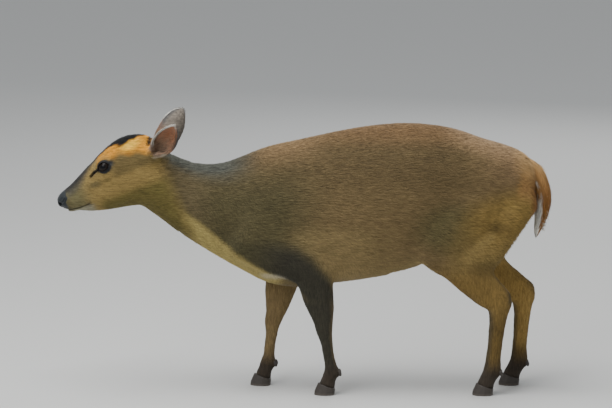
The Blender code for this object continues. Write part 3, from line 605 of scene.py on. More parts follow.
TAIL_TOP = paint(140, 96, 50)
WEDGE = [(0, 12), (12, 12), (30, 11), (60, 10.5), (84, 9), (95, 9.5), (112, 13), (124, 17), (134, 24),
         (142, 19), (156, 15), (166, 7), (174, 3)]
SKULL_TOP = [(0, 2), (24, 7), (46, 14), (63, 21), (80, 31), (94, 40), (110, 45), (128, 50), (146, 52),
             (164, 47)]
BAND_EDGE = [(84, 45), (92, 46), (110, 46), (127, 45), (148, 39), (168, 32), (180, 28)]
RUMP_EDGE = [(200, 250), (240, 300), (276, 338), (361, 367), (371, 398), (394, 418), (420, 440)]
ELBOW_TOP = [(-170, 290), (-96, 273), (-20, 259), (6, 245), (24, 229), (46, 205), (60, 150), (64, 60)]
CHEST_EDGE = [(-330, 380), (-230, 330), (-183, 306), (-145, 275), (-96, 240), (-66, 222), (-40, 212),
              (-20, 200), (10, 170)]
LIT_KNEE_RIDGE = [(276, 254), (316, 288)]
EAR_STRIP = (-277, 14, 447)
EAR_STRIP_REACH = (4.5, 19, 16)
EAR_TUFT = [(-266, 419), (-243, 427)]


def along_line(line, at):
    return np.interp(at, *zip(*line))


def spot(first, second, middle, reach, edge=1.4, core=0.3):
    """An oval spot about a middle: 1 in its core and 0 beyond its edge, in shares of its reach."""
    return ease(np.hypot((first - middle[0]) / reach[0], (second - middle[1]) / reach[1]), edge, core)


def ear_colours(name, points, normals):
    """The ear's colour: grey behind, red-brown and hollow within, white along its rims."""
    share, angle, _ = in_ear(name, points)
    turned = np.abs(angle) / np.interp(share, EAR_SHARES, EAR_ARCS)
    front = np.sign(angle) == SIDES[name]
    behind = blend(EAR_BACK, EAR_EDGE, ease(turned, 0.35, 0.8) * 0.9)
    behind = blend(behind, EAR_BASE, ease(share, 0.5, 0.15) * ease(turned, 0.2, 0.6) * 0.8)
    behind = blend(behind, NECK, ease(share, 0.34, 0.1) * 0.5)
    streak = 0.5 + 0.5 * np.sin(angle * 0.16 + share * 4 + 1)
    within = blend(EAR_INSIDE, EAR_HOLLOW * 1.25, ease(share, 0.5, 0.15) * 0.7 + streak * 0.3)
    tone = blend(behind, within, ease(normals @ ear_axes(name)[3], 0.0, 0.35))
    start = 0.86 - 0.1 * ease(share, 0.45, 0.7)
    rim = ease(turned, start, start + 0.08) * ease(share, 0.1, 0.2)
    rim = rim * np.where(front, 1.0, ease(share, 0.85, 0.97) * 0.6)
    return blend(tone, WHITE, np.maximum(rim, ease(share, 0.96, 1.0)) * 0.9)


def markings(points, normals):
    """Colour of the coat, and how far the surface is bare leather, at each point."""
    x, y, z = (points / MM).T
    nx, ny, nz = normals.T
    along, side, up = in_head(points)
    out = np.abs(side)
    facing_out = ny * np.sign(side)
    eyes, slit, nostril, mouth = face_lines(points)
    colour = np.broadcast_to(FLANK, points.shape).copy()

    def lay(tone, share):
        nonlocal colour
        colour = blend(colour, tone, np.clip(share, 0, 1))

    lay(FLANK * 0.74, ease(z, 335, 400) * ease(x, 330, 230))
    lay(BELLY, ease(z, 318, 278) * ease(x, -50, 10) * ease(x, 190, 130) * 0.3)
    lay(BACK_BROWN, ease(z, 428, 466) * ease(x, -110, -20))
    lay(RUMP, ease(x, 260, 390) * ease(z, 330, 420) * 0.9)
    # Painted sky highlight: the rump's top is lighter where it faces up.
    lay(RUMP_TOP_HIGHLIGHT, ease(x, 215, 290) * ease(nz, 0.42, 0.85) * 0.8)
    lay(HAUNCH, spot(x, z, (250, 300), (76, 52), 1.15, 0.4) * 0.9)
    lay(SHOULDER, ease(x, 60, -60) * ease(z, 440, 340))
    lay(BELLY, ease(z, 318, 282) * ease(x, -60, 0) * ease(x, 130, 90) * 0.45)
    lay(NECK, ease(x, -145, -215))
    # Paler withers where they face up: partly the coat's own paler tone, partly a painted sky highlight.
    lay(WITHERS_AND_SKY_HIGHLIGHT, ease(x, -125, -60) * ease(x, 60, -30) * ease(nz, 0.35, 0.85) * 0.7)
    below_rump = along_line(RUMP_EDGE, x) - z
    lay(THIGH, ease(below_rump, -22, 26) * ease(x, 225, 320) * ease(z, 190, 250))
    lay(THIGH_LOW, ease(x, 215, 280) * ease(z, 300, 250) * ease(z, 195, 230) * 0.7)
    lay(BUTTOCK, ease(below_rump, -20, 14) * ease(x, 352, 374) * ease(z, 338, 372))
    # Painted muscle shading on the thigh: two darker spots of painted shade, and a painted highlight along
    # the ridge above the knee.
    lay(THIGH * 0.55, spot(x, z, (326, 300), (20, 11)) * 0.8)
    lay(THIGH_LOW * 0.5, spot(x, z, (309, 228), (30, 18)) * 0.85)
    lay(THIGH_LOW * 1.4, ease(line_distance(LIT_KNEE_RIDGE, x, z)[0], 14, 3) * 0.6)
    # Painted highlight along the top of the rump above the tail, where it faces up.
    lay(CREST_HIGHLIGHT, ease(x, 345, 384) * ease(nz, 0.1, 0.7) * 0.85)
    lay(NAPE, ease(nz, 0.28, 0.75) * ease(x, -70, -150) * ease(along, 172, 188) * 0.95)
    lay(BELLY, ease(nz, -0.4, -0.95) * ease(x, -40, 20) * ease(x, 300, 240))
    # Painted shade under the neck, where it faces down.
    lay(THROAT_SHADE, ease(nz, 0.0, -0.5) * ease(x, -150, -200) * 0.8)
    inner = ease(out, 52, 36) * ease(z, 205, 240) * ease(x, 200, 240) * ease(x, 350, 325)
    lay(PALE, inner * ease(-facing_out, 0.2, 0.8) * 0.8)
    lay(PALE, ease(out, 24, 12) * ease(z, 285, 315) * ease(z, 395, 375) * ease(x, 335, 355) * 0.9)

    fore = ease(x, 115, 95) * ease(x, -140, -125)
    outward = ease(facing_out, -0.35, 0.15) * (1 - 0.45 * ease(nx, 0.4, 0.95))
    above_edge = z - along_line(CHEST_EDGE, x)
    below_top = along_line(ELBOW_TOP, x) - z
    lay(FORE_INNER, fore * ease(z, 215, 180))
    zone = ease(below_top, -22, 12) * ease(above_edge, -6, 9) * ease(x, 70, 52)
    lay(OLIVE, zone * ease(x, -185, -110) * outward * 0.85)
    lay(FORELEG, zone * ease(x, -120, -30) * outward * ease(z, 120, 180))
    lay(FORELEG, fore * ease(z, 205, 165) * outward)
    lay(BRISKET, ease(above_edge, 8, -8) * ease(x, -30, -60) * ease(along, 150, 200) * ease(z, 185, 205))
    lay(PALE, spot(x, z, (-58, 214), (24, 8), 1.3, 0.5) * 0.45)
    hind = ease(x, 190, 215)
    lay(SHANK, hind * ease(z, 250, 200))
    lay(SHANK * 0.6, hind * ease(z, 162, 122) * 0.85)
    lay(SHANK * 1.7, hind * ease(z, 300, 265) * ease(z, 60, 95) * ease(-facing_out, 0.1, 0.7) * 0.75)
    lay(FORELEG, hind * ease(z, 200, 150) * ease(-nx, 0.1, 0.8) * 0.6)
    lay(FORELEG, hind * ease(np.hypot(z - 178, (x - 375) * 0.6), 26, 8) * ease(nx, 0.2, 0.8) * 0.7)
    lay(FOOT, ease(z, 75, 35))

    face = ease(along, 205, 170)
    lay(CHEEK, face)
    lay(TEMPLE, face * ease(along, 95, 115) * ease(up, 0, 12) * 0.8)
    lay(MUZZLE, ease(along, 66, 30))
    lay(MUZZLE * 0.5, ease(along, 24, 8) * 0.8)
    edge = along_line(BAND_EDGE, along)
    band = ease(along, 80, 92) * ease(along, 192, 182) * ease(up - edge + 2 * np.sin(along * 0.23), -11, 5)
    lay(blend(ORANGE * 0.86, ORANGE, ease(along, 92, 120)), band)
    # Painted highlight: a brighter spot on the orange band.
    lay(ORANGE_HIGHLIGHT, spot(along, up, (150, 48), (19, 9), 1.25, 0.2))
    beside = ease(out, 14, 18)
    lay(MUZZLE * 0.6, spot(along, up, (69, 7), (15, 7), 1.4, 0.2) * beside * 0.7)
    lay(CHEEK * 1.2, spot(along, up, (82, -8), (12, 6), 1.3, 0.4) * beside * 0.6)
    lay(TEMPLE * 0.6, spot(along, up, (93, 8), (9, 4), 1.3, 0.4) * beside * 0.5)
    lay(CHEEK * 1.15, spot(along, up, (67, 15), (8, 5), 1, 0.375) * beside * 0.8)
    # Painted shade under the jaw.
    lay(THROAT_SHADE, face * ease(up, -14, -36) * ease(along, 50, 75) * 0.8)
    half_width = along_line(WEDGE, along) + 1.2 * np.sin(along * 0.45 + 0.5) * ease(along, 95, 125)
    top = along_line(SKULL_TOP, along)
    soft = np.interp(along, (60, 90), (3.5, 2.5))
    beside_bridge = ease(out, half_width + 9, half_width + 1) * ease(up, top - 9, top - 2)
    lay(BRIDGE * 3.2, beside_bridge * ease(along, 10, 24) * ease(along, 96, 86) * 0.7)
    wedge = ease(out, half_width + soft, half_width - soft) * ease(up, top - 5, top) * ease(along, 180, 170)
    dark = blend(BRIDGE * 1.6, BLACK, ease(along, 62, 112))
    lay(dark, wedge * np.interp(along, (70, 92), (0.93, 1)))
    lay(LID, ease(eyes, 6.0, 3.2))
    lay(LID, ease(eyes, 9.0, 5.0) * ease(along, 100, 112) * 0.7)
    lay(BLACK, ease(eyes, 2.2, 0.8))
    lay(BLACK, ease(slit, 4.0, 1.8) * np.interp(along, (68, 76), (0.75, 1)))
    below = ease(up - along_line(MOUTH, along), 0, -3)
    lay(CHIN, below * ease(along, 58, 44) * 0.8)
    lay(BLACK, ease(mouth, 1.9, 0.6) * 0.6)
    lay(BRIDGE, ease(mouth, 7, 3) * ease(along, 36, 48) * 0.4)

    for name, part in ear_part(points).items():
        share, _, reach = in_ear(name, points)
        hollow = ease(share, -0.08, 0.02) * ease(reach, 0.024, 0.018)
        lay(EAR_HOLLOW * 0.9, hollow * ease(normals @ ear_axes(name)[3], -0.2, 0.2))
        lay(ear_colours(name, points, normals), part)
        strip = (points / MM - np.array(EAR_STRIP) * (1, SIDES[name], 1)) / EAR_STRIP_REACH
        lay(BLACK, ease(np.linalg.norm(strip, axis=1), 1.15, 0.8) * 0.92)
        tuft = ease(line_distance(EAR_TUFT, x, z)[0], 2.6, 0.8)
        lay(PALE, tuft * ease(out, 18, 24) * (side * SIDES[name] > 0) * 0.5)
    tail = ease(x, 384, 398) * ease(z, 400, 385) * ease(z, 258, 264)
    lay(blend(PALE, TAIL_TOP, ease(nx, -0.2, 0.2)), tail)

    pad = ease(along - 10 - 5 * ease(up, -5, 10), 2, -1) * ease(up, -17.5, -15)
    pad = np.maximum(pad, ease(nostril, 5.4, 4.0) * ease(along, 19, 15))
    # Dark leather of the nose pad, with a painted bluish sheen mixed into its colour.
    lay(PAD_AND_SHEEN, pad)
    return colour, np.maximum(pad, ease(eyes, 1.3, 0.5))


points, normals = points_of(skin.data), normals_of(skin.data)
colour, leather = markings(points, normals)
keep_floats(skin.data, "coat", colour)
keep_floats(skin.data, "leather", leather)
keep_floats(skin.data, "shade", np.full(len(points), 0.5))
keep_floats(skin.data, "upright", ease(points[:, 2], 0.27, 0.19))

# %% [markdown]
# ## Shader maths as plain Python
# A procedural material is a sum of small operations. Wiring each by hand is slow to read, so a
# socket is wrapped in a class whose operators add the Math nodes: 1 - mask then means just that.

# %% A socket that can be reckoned with
class Value:
    def __init__(self, tree, socket):
        self.tree, self.socket = tree, socket

    def node(self, kind, settings=(), inputs=(), output=0):
        """Any node of this material: its settings first, then its sockets' values or links."""
        made = self.tree.nodes.new(kind)
        for name, value in dict(settings).items():
            setattr(made, name, value)
        for name, value in dict(inputs).items():
            if isinstance(value, Value):
                self.tree.links.new(value.socket, made.inputs[name])
            else:
                made.inputs[name].default_value = value
        return Value(self.tree, made.outputs[output])

    def maths(self, operation, first, second=0.0):
        return self.node("ShaderNodeMath", {"operation": operation}, {0: first, 1: second})

    def __add__(self, other):
        return self.maths("ADD", self, other)

    __radd__ = __add__

    def __mul__(self, other):
        return self.maths("MULTIPLY", self, other)

    __rmul__ = __mul__

    def __sub__(self, other):
        return self.maths("SUBTRACT", self, other)

    def __rsub__(self, other):
        return self.maths("SUBTRACT", other, self)

    def between(self, low, high):
        """0 below low, 1 above high, smoothly."""
        return self.node("ShaderNodeMapRange", {"interpolation_type": "SMOOTHSTEP"},
                         {"Value": self, "From Min": low, "From Max": high})

    def tint(self, first, second):
        """Mixes two colours by this value."""
        return self.node("ShaderNodeMix", {"data_type": "RGBA"}, {0: self, 6: first, 7: second}, 2)

    def lit(self, light):
        """This colour made lighter or darker by a value."""
        grey = self.node("ShaderNodeCombineColor", (), {0: light, 1: light, 2: light})
        return self.node("ShaderNodeMix", {"data_type": "RGBA", "blend_type": "MULTIPLY"},
                         {0: 1.0, 6: self, 7: grey}, 2)

    def scaled(self, by):
        """A vector stretched along its axes."""
        return self.node("ShaderNodeVectorMath", {"operation": "MULTIPLY"}, {0: self, 1: by})

    def noise(self, scale, detail=3.0, roughness=0.55):
        return self.node("ShaderNodeTexNoise", (), {"Vector": self, "Scale": scale, "Detail": detail,
                                                     "Roughness": roughness})


def new_material(name, **sockets):
    """A material and its Principled shader, with the sockets that are named set."""
    made = bpy.data.materials.new(name)
    made.use_nodes = True
    shader = made.node_tree.nodes["Principled BSDF"]
    for label, value in sockets.items():
        shader.inputs[label.replace("_", " ")].default_value = value
    return made, shader


def place_in(material):
    tree = material.node_tree
    return Value(tree, tree.nodes.new("ShaderNodeTexCoord").outputs["Object"])


def stored(place, name, output="Fac"):
    """A number, or with output Color a colour, that was kept for each vertex."""
    return place.node("ShaderNodeAttribute", {"attribute_name": name}, output=output)


def feed(shader, **sockets):
    for label, value in sockets.items():
        shader.id_data.links.new(value.socket, shader.inputs[label.replace("_", " ")])


def bump(height, strength, distance):
    return height.node("ShaderNodeBump", (), {"Strength": strength, "Distance": distance, "Height": height})

# %% [markdown]
# ## The coat's finish
# Close to, a muntjac's hair is banded light and dark, which makes fine streaks along the lie. Noise
# stretched along the body, and along the legs where they hang, gives both the streaks' colour
# and their relief. The leather of the nose takes a finer grain and more gloss.

# %% Coat material
def coat_material():
    material, shader = new_material("coat", Specular_IOR_Level=0.25, Sheen_Weight=0.08,
                                    Sheen_Roughness=0.5)
    place = place_in(material)
    colour = stored(place, "coat", "Color")
    leather, shade, upright = (stored(place, name) for name in ("leather", "shade", "upright"))
    level = place.scaled((0.12, 0.6, 1)).noise(480, 2.0, 0.6)
    standing = place.scaled((1, 0.8, 0.13)).noise(480, 2.0, 0.6)
    streak = level * (1 - upright) + standing * upright
    patch = place.scaled((0.45, 0.8, 1)).noise(34, 2.0)
    grain = place.noise(1500, 2.0)
    light = 1.0 + (streak - 0.5) * 1.4 + (shade - 0.5) * 0.36 + (patch - 0.5) * 0.25
    relief = (streak + grain * 0.3) * (1 - leather) + grain * leather * 0.6
    feed(shader, Base_Color=leather.tint(colour.lit(light), colour),
         Roughness=0.82 - leather * 0.48 + (grain - 0.5) * 0.2, Normal=bump(relief, 0.7, 0.0016))
    return material


coat_finish = coat_material()
skin.data.materials.append(coat_finish)

# %% [markdown]
# ## Hair as mesh
# Particle hair and curves are lost when a model is exported, so each tuft is a slim closed spike
# with a three-sided root sunk into the skin. One function makes any kind of hair from arrays of
# roots: the short coat with one segment a tuft, and long hair with several, so that it can bend.

# %% Strand maker
draw = np.random.default_rng(11)
PATCH = 0.003
TUFT_LIGHT = (0.72, 1.0, 1.12)


def strands(roots, normals, ways, lengths, widths, rise, bend, segments, flatness=0.35, taper=1.0):
    """Points, faces, share along, place across and facing of slim closed spikes, one for each root.

    rise is how far the tip stands off the skin, and bend how far it is carried away by its end.
    """
    count = len(roots)
    sides = np.cross(normals, ways)
    shares = np.arange(segments) / segments
    curve = (roots[:, None] + ways[:, None] * (lengths[:, None] * shares)[..., None]
             + normals[:, None] * (rise[:, None] * shares)[..., None]
             + bend[:, None] * (shares ** 2)[None, :, None])
    size = widths[:, None] * (1 - shares ** 2 * taper)[None]
    ring = np.stack([curve + sides[:, None] * size[..., None] / 2,
                     curve - sides[:, None] * size[..., None] / 2,
                     curve + normals[:, None] * size[..., None] * flatness], axis=2)
    tips = roots + ways * lengths[:, None] + normals * rise[:, None] + bend
    points = np.concatenate([ring.reshape(count, -1, 3), tips[:, None]], axis=1)
    faces = [(0, 1, 2)]
    for k in range(segments - 1):
        for i, j in ((0, 1), (1, 2), (2, 0)):
            a, b = 3 * k + i, 3 * k + j
            faces += [(a, b + 3, b), (a, a + 3, b + 3)]
    last = 3 * (segments - 1)
    faces += [(last + j, last + i, 3 * segments) for i, j in ((0, 1), (1, 2), (2, 0))]
    each = 3 * segments + 1
    all_faces = np.array(faces)[None] + (np.arange(count) * each)[:, None, None]
    along = np.append(np.repeat(shares, 3), 1.0)
    across = np.append(np.tile((-0.5, 0.5, 0.0), segments), 0.0)
    lean = np.stack([sides * 0.45 + normals, -sides * 0.45 + normals, normals], axis=1)
    facing = np.concatenate([np.tile(lean, (1, segments, 1)), normals[:, None]], axis=1)
    return points.reshape(-1, 3), all_faces.reshape(-1, 3), along, across, unit(facing).reshape(-1, 3)


coat_pieces = []


def hair_piece(name, roots, normals, ways, colours, spots, shades, lengths, widths, rise, bend=None,
               segments=1, flatness=0.35, taper=1.0, upright=None):
    """One object of many tufts, coloured, with each tuft a small patch of the skin's unwrap."""
    colours = np.broadcast_to(colours, roots.shape)
    bend = np.zeros_like(roots) if bend is None else bend
    points, faces, along, across, facing = strands(
        roots, normals, ways, lengths, widths, rise, bend, segments, flatness, taper)
    mesh = mesh_from(name, points, faces)
    each = len(along)
    light = np.interp(along, (0, 0.5, 1), TUFT_LIGHT)
    keep_floats(mesh, "coat", (colours[:, None] * light[None, :, None]).reshape(-1, 3))
    keep_floats(mesh, "leather", np.zeros(len(points)))
    keep_floats(mesh, "shade", np.repeat(shades, each))
    upright = ease(roots[:, 2], 0.27, 0.19) if upright is None else upright
    keep_floats(mesh, "upright", np.repeat(upright, each))
    corner = spots[:, None] + np.stack([along - 0.5, across], axis=1)[None] * PATCH
    layer = mesh.uv_layers.new(name="OFBake")
    layer.data.foreach_set("uv", corner.reshape(-1, 2)[faces.ravel()].astype(np.float32).ravel())
    mesh.normals_split_custom_set_from_vertices(facing.astype(np.float32))
    mesh.materials.append(coat_finish)
    coat_pieces.append(new_object(name, mesh))

# %% [markdown]
# ## A flat pattern of the skin
# When the colours are baked for export, each tuft needs its own little patch of picture, taken
# where its root is. A light copy of the skin is unwrapped for that, and each root looks up its
# place on it.

# %% Unwrap a light copy
def unwrap_lookup(obj, share=0.05):
    light = new_object("light_skin", obj.data.copy())
    thin = light.modifiers.new("thin", "DECIMATE")
    thin.ratio = share
    apply_modifiers(light)
    for other in bpy.context.selected_objects:
        other.select_set(False)
    light.select_set(True)
    bpy.context.view_layer.objects.active = light
    bpy.ops.object.mode_set(mode="EDIT")
    bpy.ops.mesh.select_all(action="SELECT")
    bpy.ops.uv.smart_project(angle_limit=math.radians(66), island_margin=0.004)
    bpy.ops.object.mode_set(mode="OBJECT")
    mesh = light.data
    mesh.calc_loop_triangles()
    corners = np.array([t.vertices for t in mesh.loop_triangles])
    loops = np.array([t.loops for t in mesh.loop_triangles])
    uv = np.empty(len(mesh.loops) * 2, np.float32)
    mesh.uv_layers.active.data.foreach_get("uv", uv)
    uv = uv.reshape(-1, 2)[loops]
    places = points_of(mesh)
    tree = BVHTree.FromPolygons(places.tolist(), corners.tolist())
    print("flat pattern:", len(corners), "triangles")
    bpy.data.objects.remove(light)
    return tree, places[corners], uv


flat_tree, flat_corners, flat_uv = unwrap_lookup(skin)


def flat_places(roots):
    """The place of each root on the flat pattern."""
    index = np.array([flat_tree.find_nearest(p)[2] for p in roots.tolist()])
    a, b, c = np.moveaxis(flat_corners[index], 1, 0)
    ab, ac, ap = b - a, c - a, roots - a
    d00, d01, d11 = (ab * ab).sum(1), (ab * ac).sum(1), (ac * ac).sum(1)
    d20, d21 = (ap * ab).sum(1), (ap * ac).sum(1)
    ground = np.maximum(d00 * d11 - d01 * d01, 1e-18)
    v, w = (d11 * d20 - d01 * d21) / ground, (d00 * d21 - d01 * d20) / ground
    weights = np.clip(np.stack([1 - v - w, v, w], axis=1), 0, 1)
    weights /= weights.sum(1, keepdims=True)
    return (flat_uv[index] * weights[..., None]).sum(1)

# %% [markdown]
# ## Laying the coat
# Roots are scattered over the skin, close together on the face and wider apart on the trunk. Each
# tuft takes its length, width and way from where it grows, with a little chance added. The list
# of tufts is cut into pieces that stay small enough to bake.

# %% Scatter roots and grow the short coat
skin_points, skin_normals = points_of(skin.data), normals_of(skin.data)
skin_triangles = triangles_of(skin.data)
TUFTS_A_PIECE = 49000
HOOF_TOP = 14
SUNK = 0.4


def scatter(density):
    """Roots spread over the skin with this many tufts for each square metre at each point."""
    first, second, third = np.moveaxis(skin_points[skin_triangles], 1, 0)
    area = np.linalg.norm(np.cross(second - first, third - first), axis=1) / 2
    total = np.cumsum(area * density[skin_triangles].mean(1))
    at = np.arange(int(total[-1])) + draw.random(int(total[-1]))
    index = np.searchsorted(total, np.minimum(at, total[-1] * 0.999999))
    a, b = draw.random((2, len(index)))
    fold = a + b > 1
    a, b = np.where(fold, 1 - a, a), np.where(fold, 1 - b, b)
    weights = np.stack([1 - a - b, a, b], axis=1)[..., None]
    corners = skin_triangles[index]
    return (skin_points[corners] * weights).sum(1), unit((skin_normals[corners] * weights).sum(1))


def hair_sizes(points):
    """Length of the coat at each point, in millimetres, and the gap between its tufts."""
    x, _, z = (points / MM).T
    along = in_head(points)[0]
    length = 12 - 2.5 * ease(x, -130, -230) + 2 * ease(x, 300, 360)
    length += 7 * ease(x, 358, 384) * ease(z, 370, 400)
    length = np.where(x > -200, 5.5 + (length - 5.5) * ease(z, 150, 260), length)
    length = np.where(along < 230, np.minimum(length, 5 + 6 * ease(along, 120, 215)), length)
    length = np.minimum(length, 2.6 + 3 * ease(along, 15, 80) + 30 * ease(along, 80, 140))
    length = np.minimum(length, 3 + 30 * ease(z, 25, 110))
    eyes = face_lines(points)[0]
    length = np.minimum(length, 1.6 + np.maximum(eyes, 0) * 0.5)
    ears = np.maximum(*ear_part(points).values())
    length = length * (1 - ears) + 4.5 * ears
    return length, 0.6 + length * 0.083


def grow_coat():
    length, gap = hair_sizes(skin_points)
    _, bare = markings(skin_points, skin_normals)
    density = 1 / (gap * MM) ** 2 * (bare < 0.3) * (skin_points[:, 2] / MM > HOOF_TOP)
    eyes, slit, _, mouth = face_lines(skin_points)
    density *= (eyes > 1.4) & (slit > 1.0) & (mouth > 0.8)
    roots, facing = scatter(density)
    order = np.argsort(roots[:, 0])
    roots, facing = roots[order], facing[order]
    length, gap = hair_sizes(roots)
    count = len(roots)
    way = lie(roots, facing)
    turn = draw.normal(0, 0.16, count)
    way = way * np.cos(turn)[:, None] + np.cross(facing, way) * np.sin(turn)[:, None]
    length = length * draw.uniform(0.7, 1.2, count)
    colours, _ = markings(roots, facing)
    colours = colours * draw.uniform(0.88, 1.12, (count, 1))
    shades = draw.random(count)
    spots = flat_places(roots)
    rise = coat_depth(roots) * draw.uniform(0.35, 0.95, count)
    sunk = roots - facing * SUNK * MM
    for number, start in enumerate(range(0, count, TUFTS_A_PIECE)):
        part = slice(start, min(start + TUFTS_A_PIECE, count))
        hair_piece(f"coat_{number + 1:02d}", sunk[part], facing[part], way[part], colours[part], spots[part],
                   shades[part], length[part] * MM, gap[part] * 1.15 * MM, rise[part] * MM + SUNK * MM)
    print("short coat:", count, "tufts in", number + 1, "pieces")


grow_coat()

# %% [markdown]
# ## The tail
# The tail is a flat brush: foxy brown above and white beneath, thinning to a point. Its hair is
# long enough to bend, so each strand has several segments. Every strand starts on the slim core
# and ends on the brush's own outline further down, which gives the taper without any trimming.

# %% Grow the tail
def round_tail(share, angle, fullness):
    """Places about the tail's line at shares of its length, with the ways down and out there."""
    middle, thick, wide = tail_line(share)
    down = unit(tail_line(share + 0.02)[0] - tail_line(share - 0.02)[0])
    outward = np.stack([-down[:, 2], 0 * share, down[:, 0]], axis=1)
    off = outward * (thick * np.cos(angle))[:, None] / 2
    off[:, 1] += wide / 2 * np.sin(angle)
    return middle + off * fullness[:, None], down, unit(off)


def grow_tail(count=5600):
    share = draw.random(count) * 0.93
    turn = draw.uniform(-180, 180, count)
    angle = np.radians(turn)
    roots, down, spoke = round_tail(share, angle, np.interp(share, (0.1, 0.5, 1), (0.9, 0.62, 0.5)))
    from_back = np.abs(turn)
    brown = ease(from_back + draw.normal(0, 7, count) + 24 * ease(share, 0.5, 0.95), 112, 92)
    brown = np.maximum(brown, ease(share + draw.normal(0, 0.03, count), 0.44, 0.36))
    peek = ease(from_back, 98, 104) * ease(from_back, 120, 112)
    peek = peek * ease(share, 0.16, 0.19) * ease(share, 0.27, 0.22)
    brown = brown * (1 - 0.8 * peek)
    reach = draw.uniform(0.13, 0.24, count) + 0.06 * (1 - brown) * ease(share, 0.6, 0.9)
    clump = 0.5 + 0.5 * np.sin(turn * 0.11 + share * 9)
    beyond = np.maximum(share + reach - 1, 0)
    towards_body = ease(from_back, 70, 130) * (ease(share, 0.5, 0.35) + 0.25)
    outward = ease(from_back, 80, 40) * ease(share, 0.7, 0.45)
    fullness = draw.uniform(0.7, 1.04, count) - 0.16 * clump
    fullness = fullness * (1 + 0.7 * towards_body + 0.3 * outward) * ease(beyond, 0.35, -0.1)
    ends, _, _ = round_tail(np.minimum(share + reach, 1.0), angle + draw.normal(0, 0.08, count), fullness)
    ends[:, 2] -= beyond * 0.05
    length = np.linalg.norm(ends - roots, axis=1)
    way = unit(down + spoke * 0.25)
    facing = unit(spoke - way * (spoke * way).sum(1, keepdims=True))
    bend = ends - roots - way * length[:, None]
    colours = blend(WHITE, TAIL_TOP, brown)
    colours = blend(colours, BUTTOCK, ease(share, 0.5, 0.1) * brown * 0.8)
    # Painted highlight on the upper side of the tail near its root.
    colours = blend(colours, CREST_HIGHLIGHT, ease(share, 0.3, 0.0) * ease(from_back, 70, 20) * 0.7)
    colours = colours * draw.uniform(0.8, 1.15, (count, 1))
    hair_piece("coat_tail", roots, facing, way, colours, flat_places(roots), draw.random(count),
               length, draw.uniform(0.8, 1.4, count) * MM, np.zeros(count), bend, 5, 0.4, 0.85,
               upright=np.ones(count))
    print("tail:", count, "strands")


grow_tail()

# %% [markdown]
# ## Ears' fringe
# A pale fringe stands along both edges of each ear, and longer pale hairs lie inside it from the
# front edge and the base. They are what makes the ear read from afar.

# %% Fringe the ears
TAPER_POWER = 2.2
EDGE_INSET = 0.0012


def ear_width(name, share):
    return np.interp(share, EAR_SHARES, EAR_WIDTHS) * (1 - EAR_TAPERS[name] * share ** TAPER_POWER) * MM


def ear_rim(name, share, edge, inset):
    """Places on one rim of an ear, the way out from its axis there, and the arc of its cup."""
    root, axis, across, opening, length = ear_axes(name)
    arc = np.radians(np.interp(share, EAR_SHARES, EAR_ARCS) - inset)
    spoke = across * np.sin(arc)[:, None] * edge - opening * np.cos(arc)[:, None]
    middle = root + axis * (share * length)[:, None] + across * ear_sway(name, share)[:, None]
    return middle + spoke * (ear_width(name, share) - EDGE_INSET)[:, None], spoke, arc


def grow_fringe(per_edge=620, inside=260):
    for name, front in SIDES.items():
        _, axis, across, opening, _ = ear_axes(name)
        rows = []
        for edge in (front, -front):
            share = draw.uniform(0.14, 0.985, per_edge)
            place, spoke, arc = ear_rim(name, share, edge, draw.uniform(0, 12, per_edge))
            lean = np.interp(share, (0, 0.6, 1), (-0.25, 0.1, 0.75))
            way = unit(axis * 0.85 + spoke * 0.1 + np.outer(np.cos(arc), opening) * 0.2
                       - across * edge * lean[:, None])
            white = np.ones(per_edge) if edge == front else ease(share, 0.75, 1.0) * 0.6 + 0.15
            rows.append((place, spoke, way, draw.uniform(3.5, 7, per_edge), blend(EAR_BASE, WHITE, white)))
        share = draw.uniform(0.08, 0.5, inside)
        place, spoke, arc = ear_rim(name, share, front, draw.uniform(4, 40, inside))
        way = unit(axis * 0.95 - across * front * 0.2 + opening * 0.15)
        pale = np.broadcast_to(WHITE * 0.85, place.shape)
        rows.append((place, -spoke, np.broadcast_to(way, place.shape), draw.uniform(5, 10, inside), pale))
        place, spoke, way, size, tone = (np.concatenate(part) for part in zip(*rows))
        count = len(place)
        facing = unit(spoke - way * (spoke * way).sum(1, keepdims=True))
        hair_piece("coat_fringe_" + name, place, facing, way, tone * draw.uniform(0.7, 1.05, (count, 1)),
                   flat_places(place), draw.random(count), size * MM, draw.uniform(0.4, 0.7, count) * MM,
                   draw.uniform(0, 0.8, count) * MM, segments=2, upright=np.ones(count))
        print(name, "ear's fringe:", count, "tufts")


grow_fringe()

# %% [markdown]
# ## Longer hair on the crown and face
# The dark patch on the crown is a small brush that stands up a little. Lashes shade the eyes, and
# a few stiff whiskers grow from the lips and chin. All are strands from the same maker.

# %% Crown, lashes and whiskers
def grow_crown(count=3600):
    along, side, up = in_head(skin_points)
    zone = ease(along, 96, 118) * ease(along, 186, 168) * ease(np.abs(side), 24, 16) * ease(up, 38, 46)
    roots, facing = scatter(zone * count / 0.0028)
    count = len(roots)
    way = lie(roots, facing)
    colours, _ = markings(roots, facing)
    size = draw.uniform(6, 12, count) * MM
    colours = colours * draw.uniform(0.8, 1.2, (count, 1))
    hair_piece("coat_crown", roots - facing * SUNK * MM, facing, way, colours, flat_places(roots),
               draw.random(count), size, draw.uniform(0.6, 1.1, count) * MM,
               size * draw.uniform(0.15, 0.38, count), -facing * size[:, None] * 0.08, 3, 0.4, 0.8)
    print("crown:", count, "tufts")


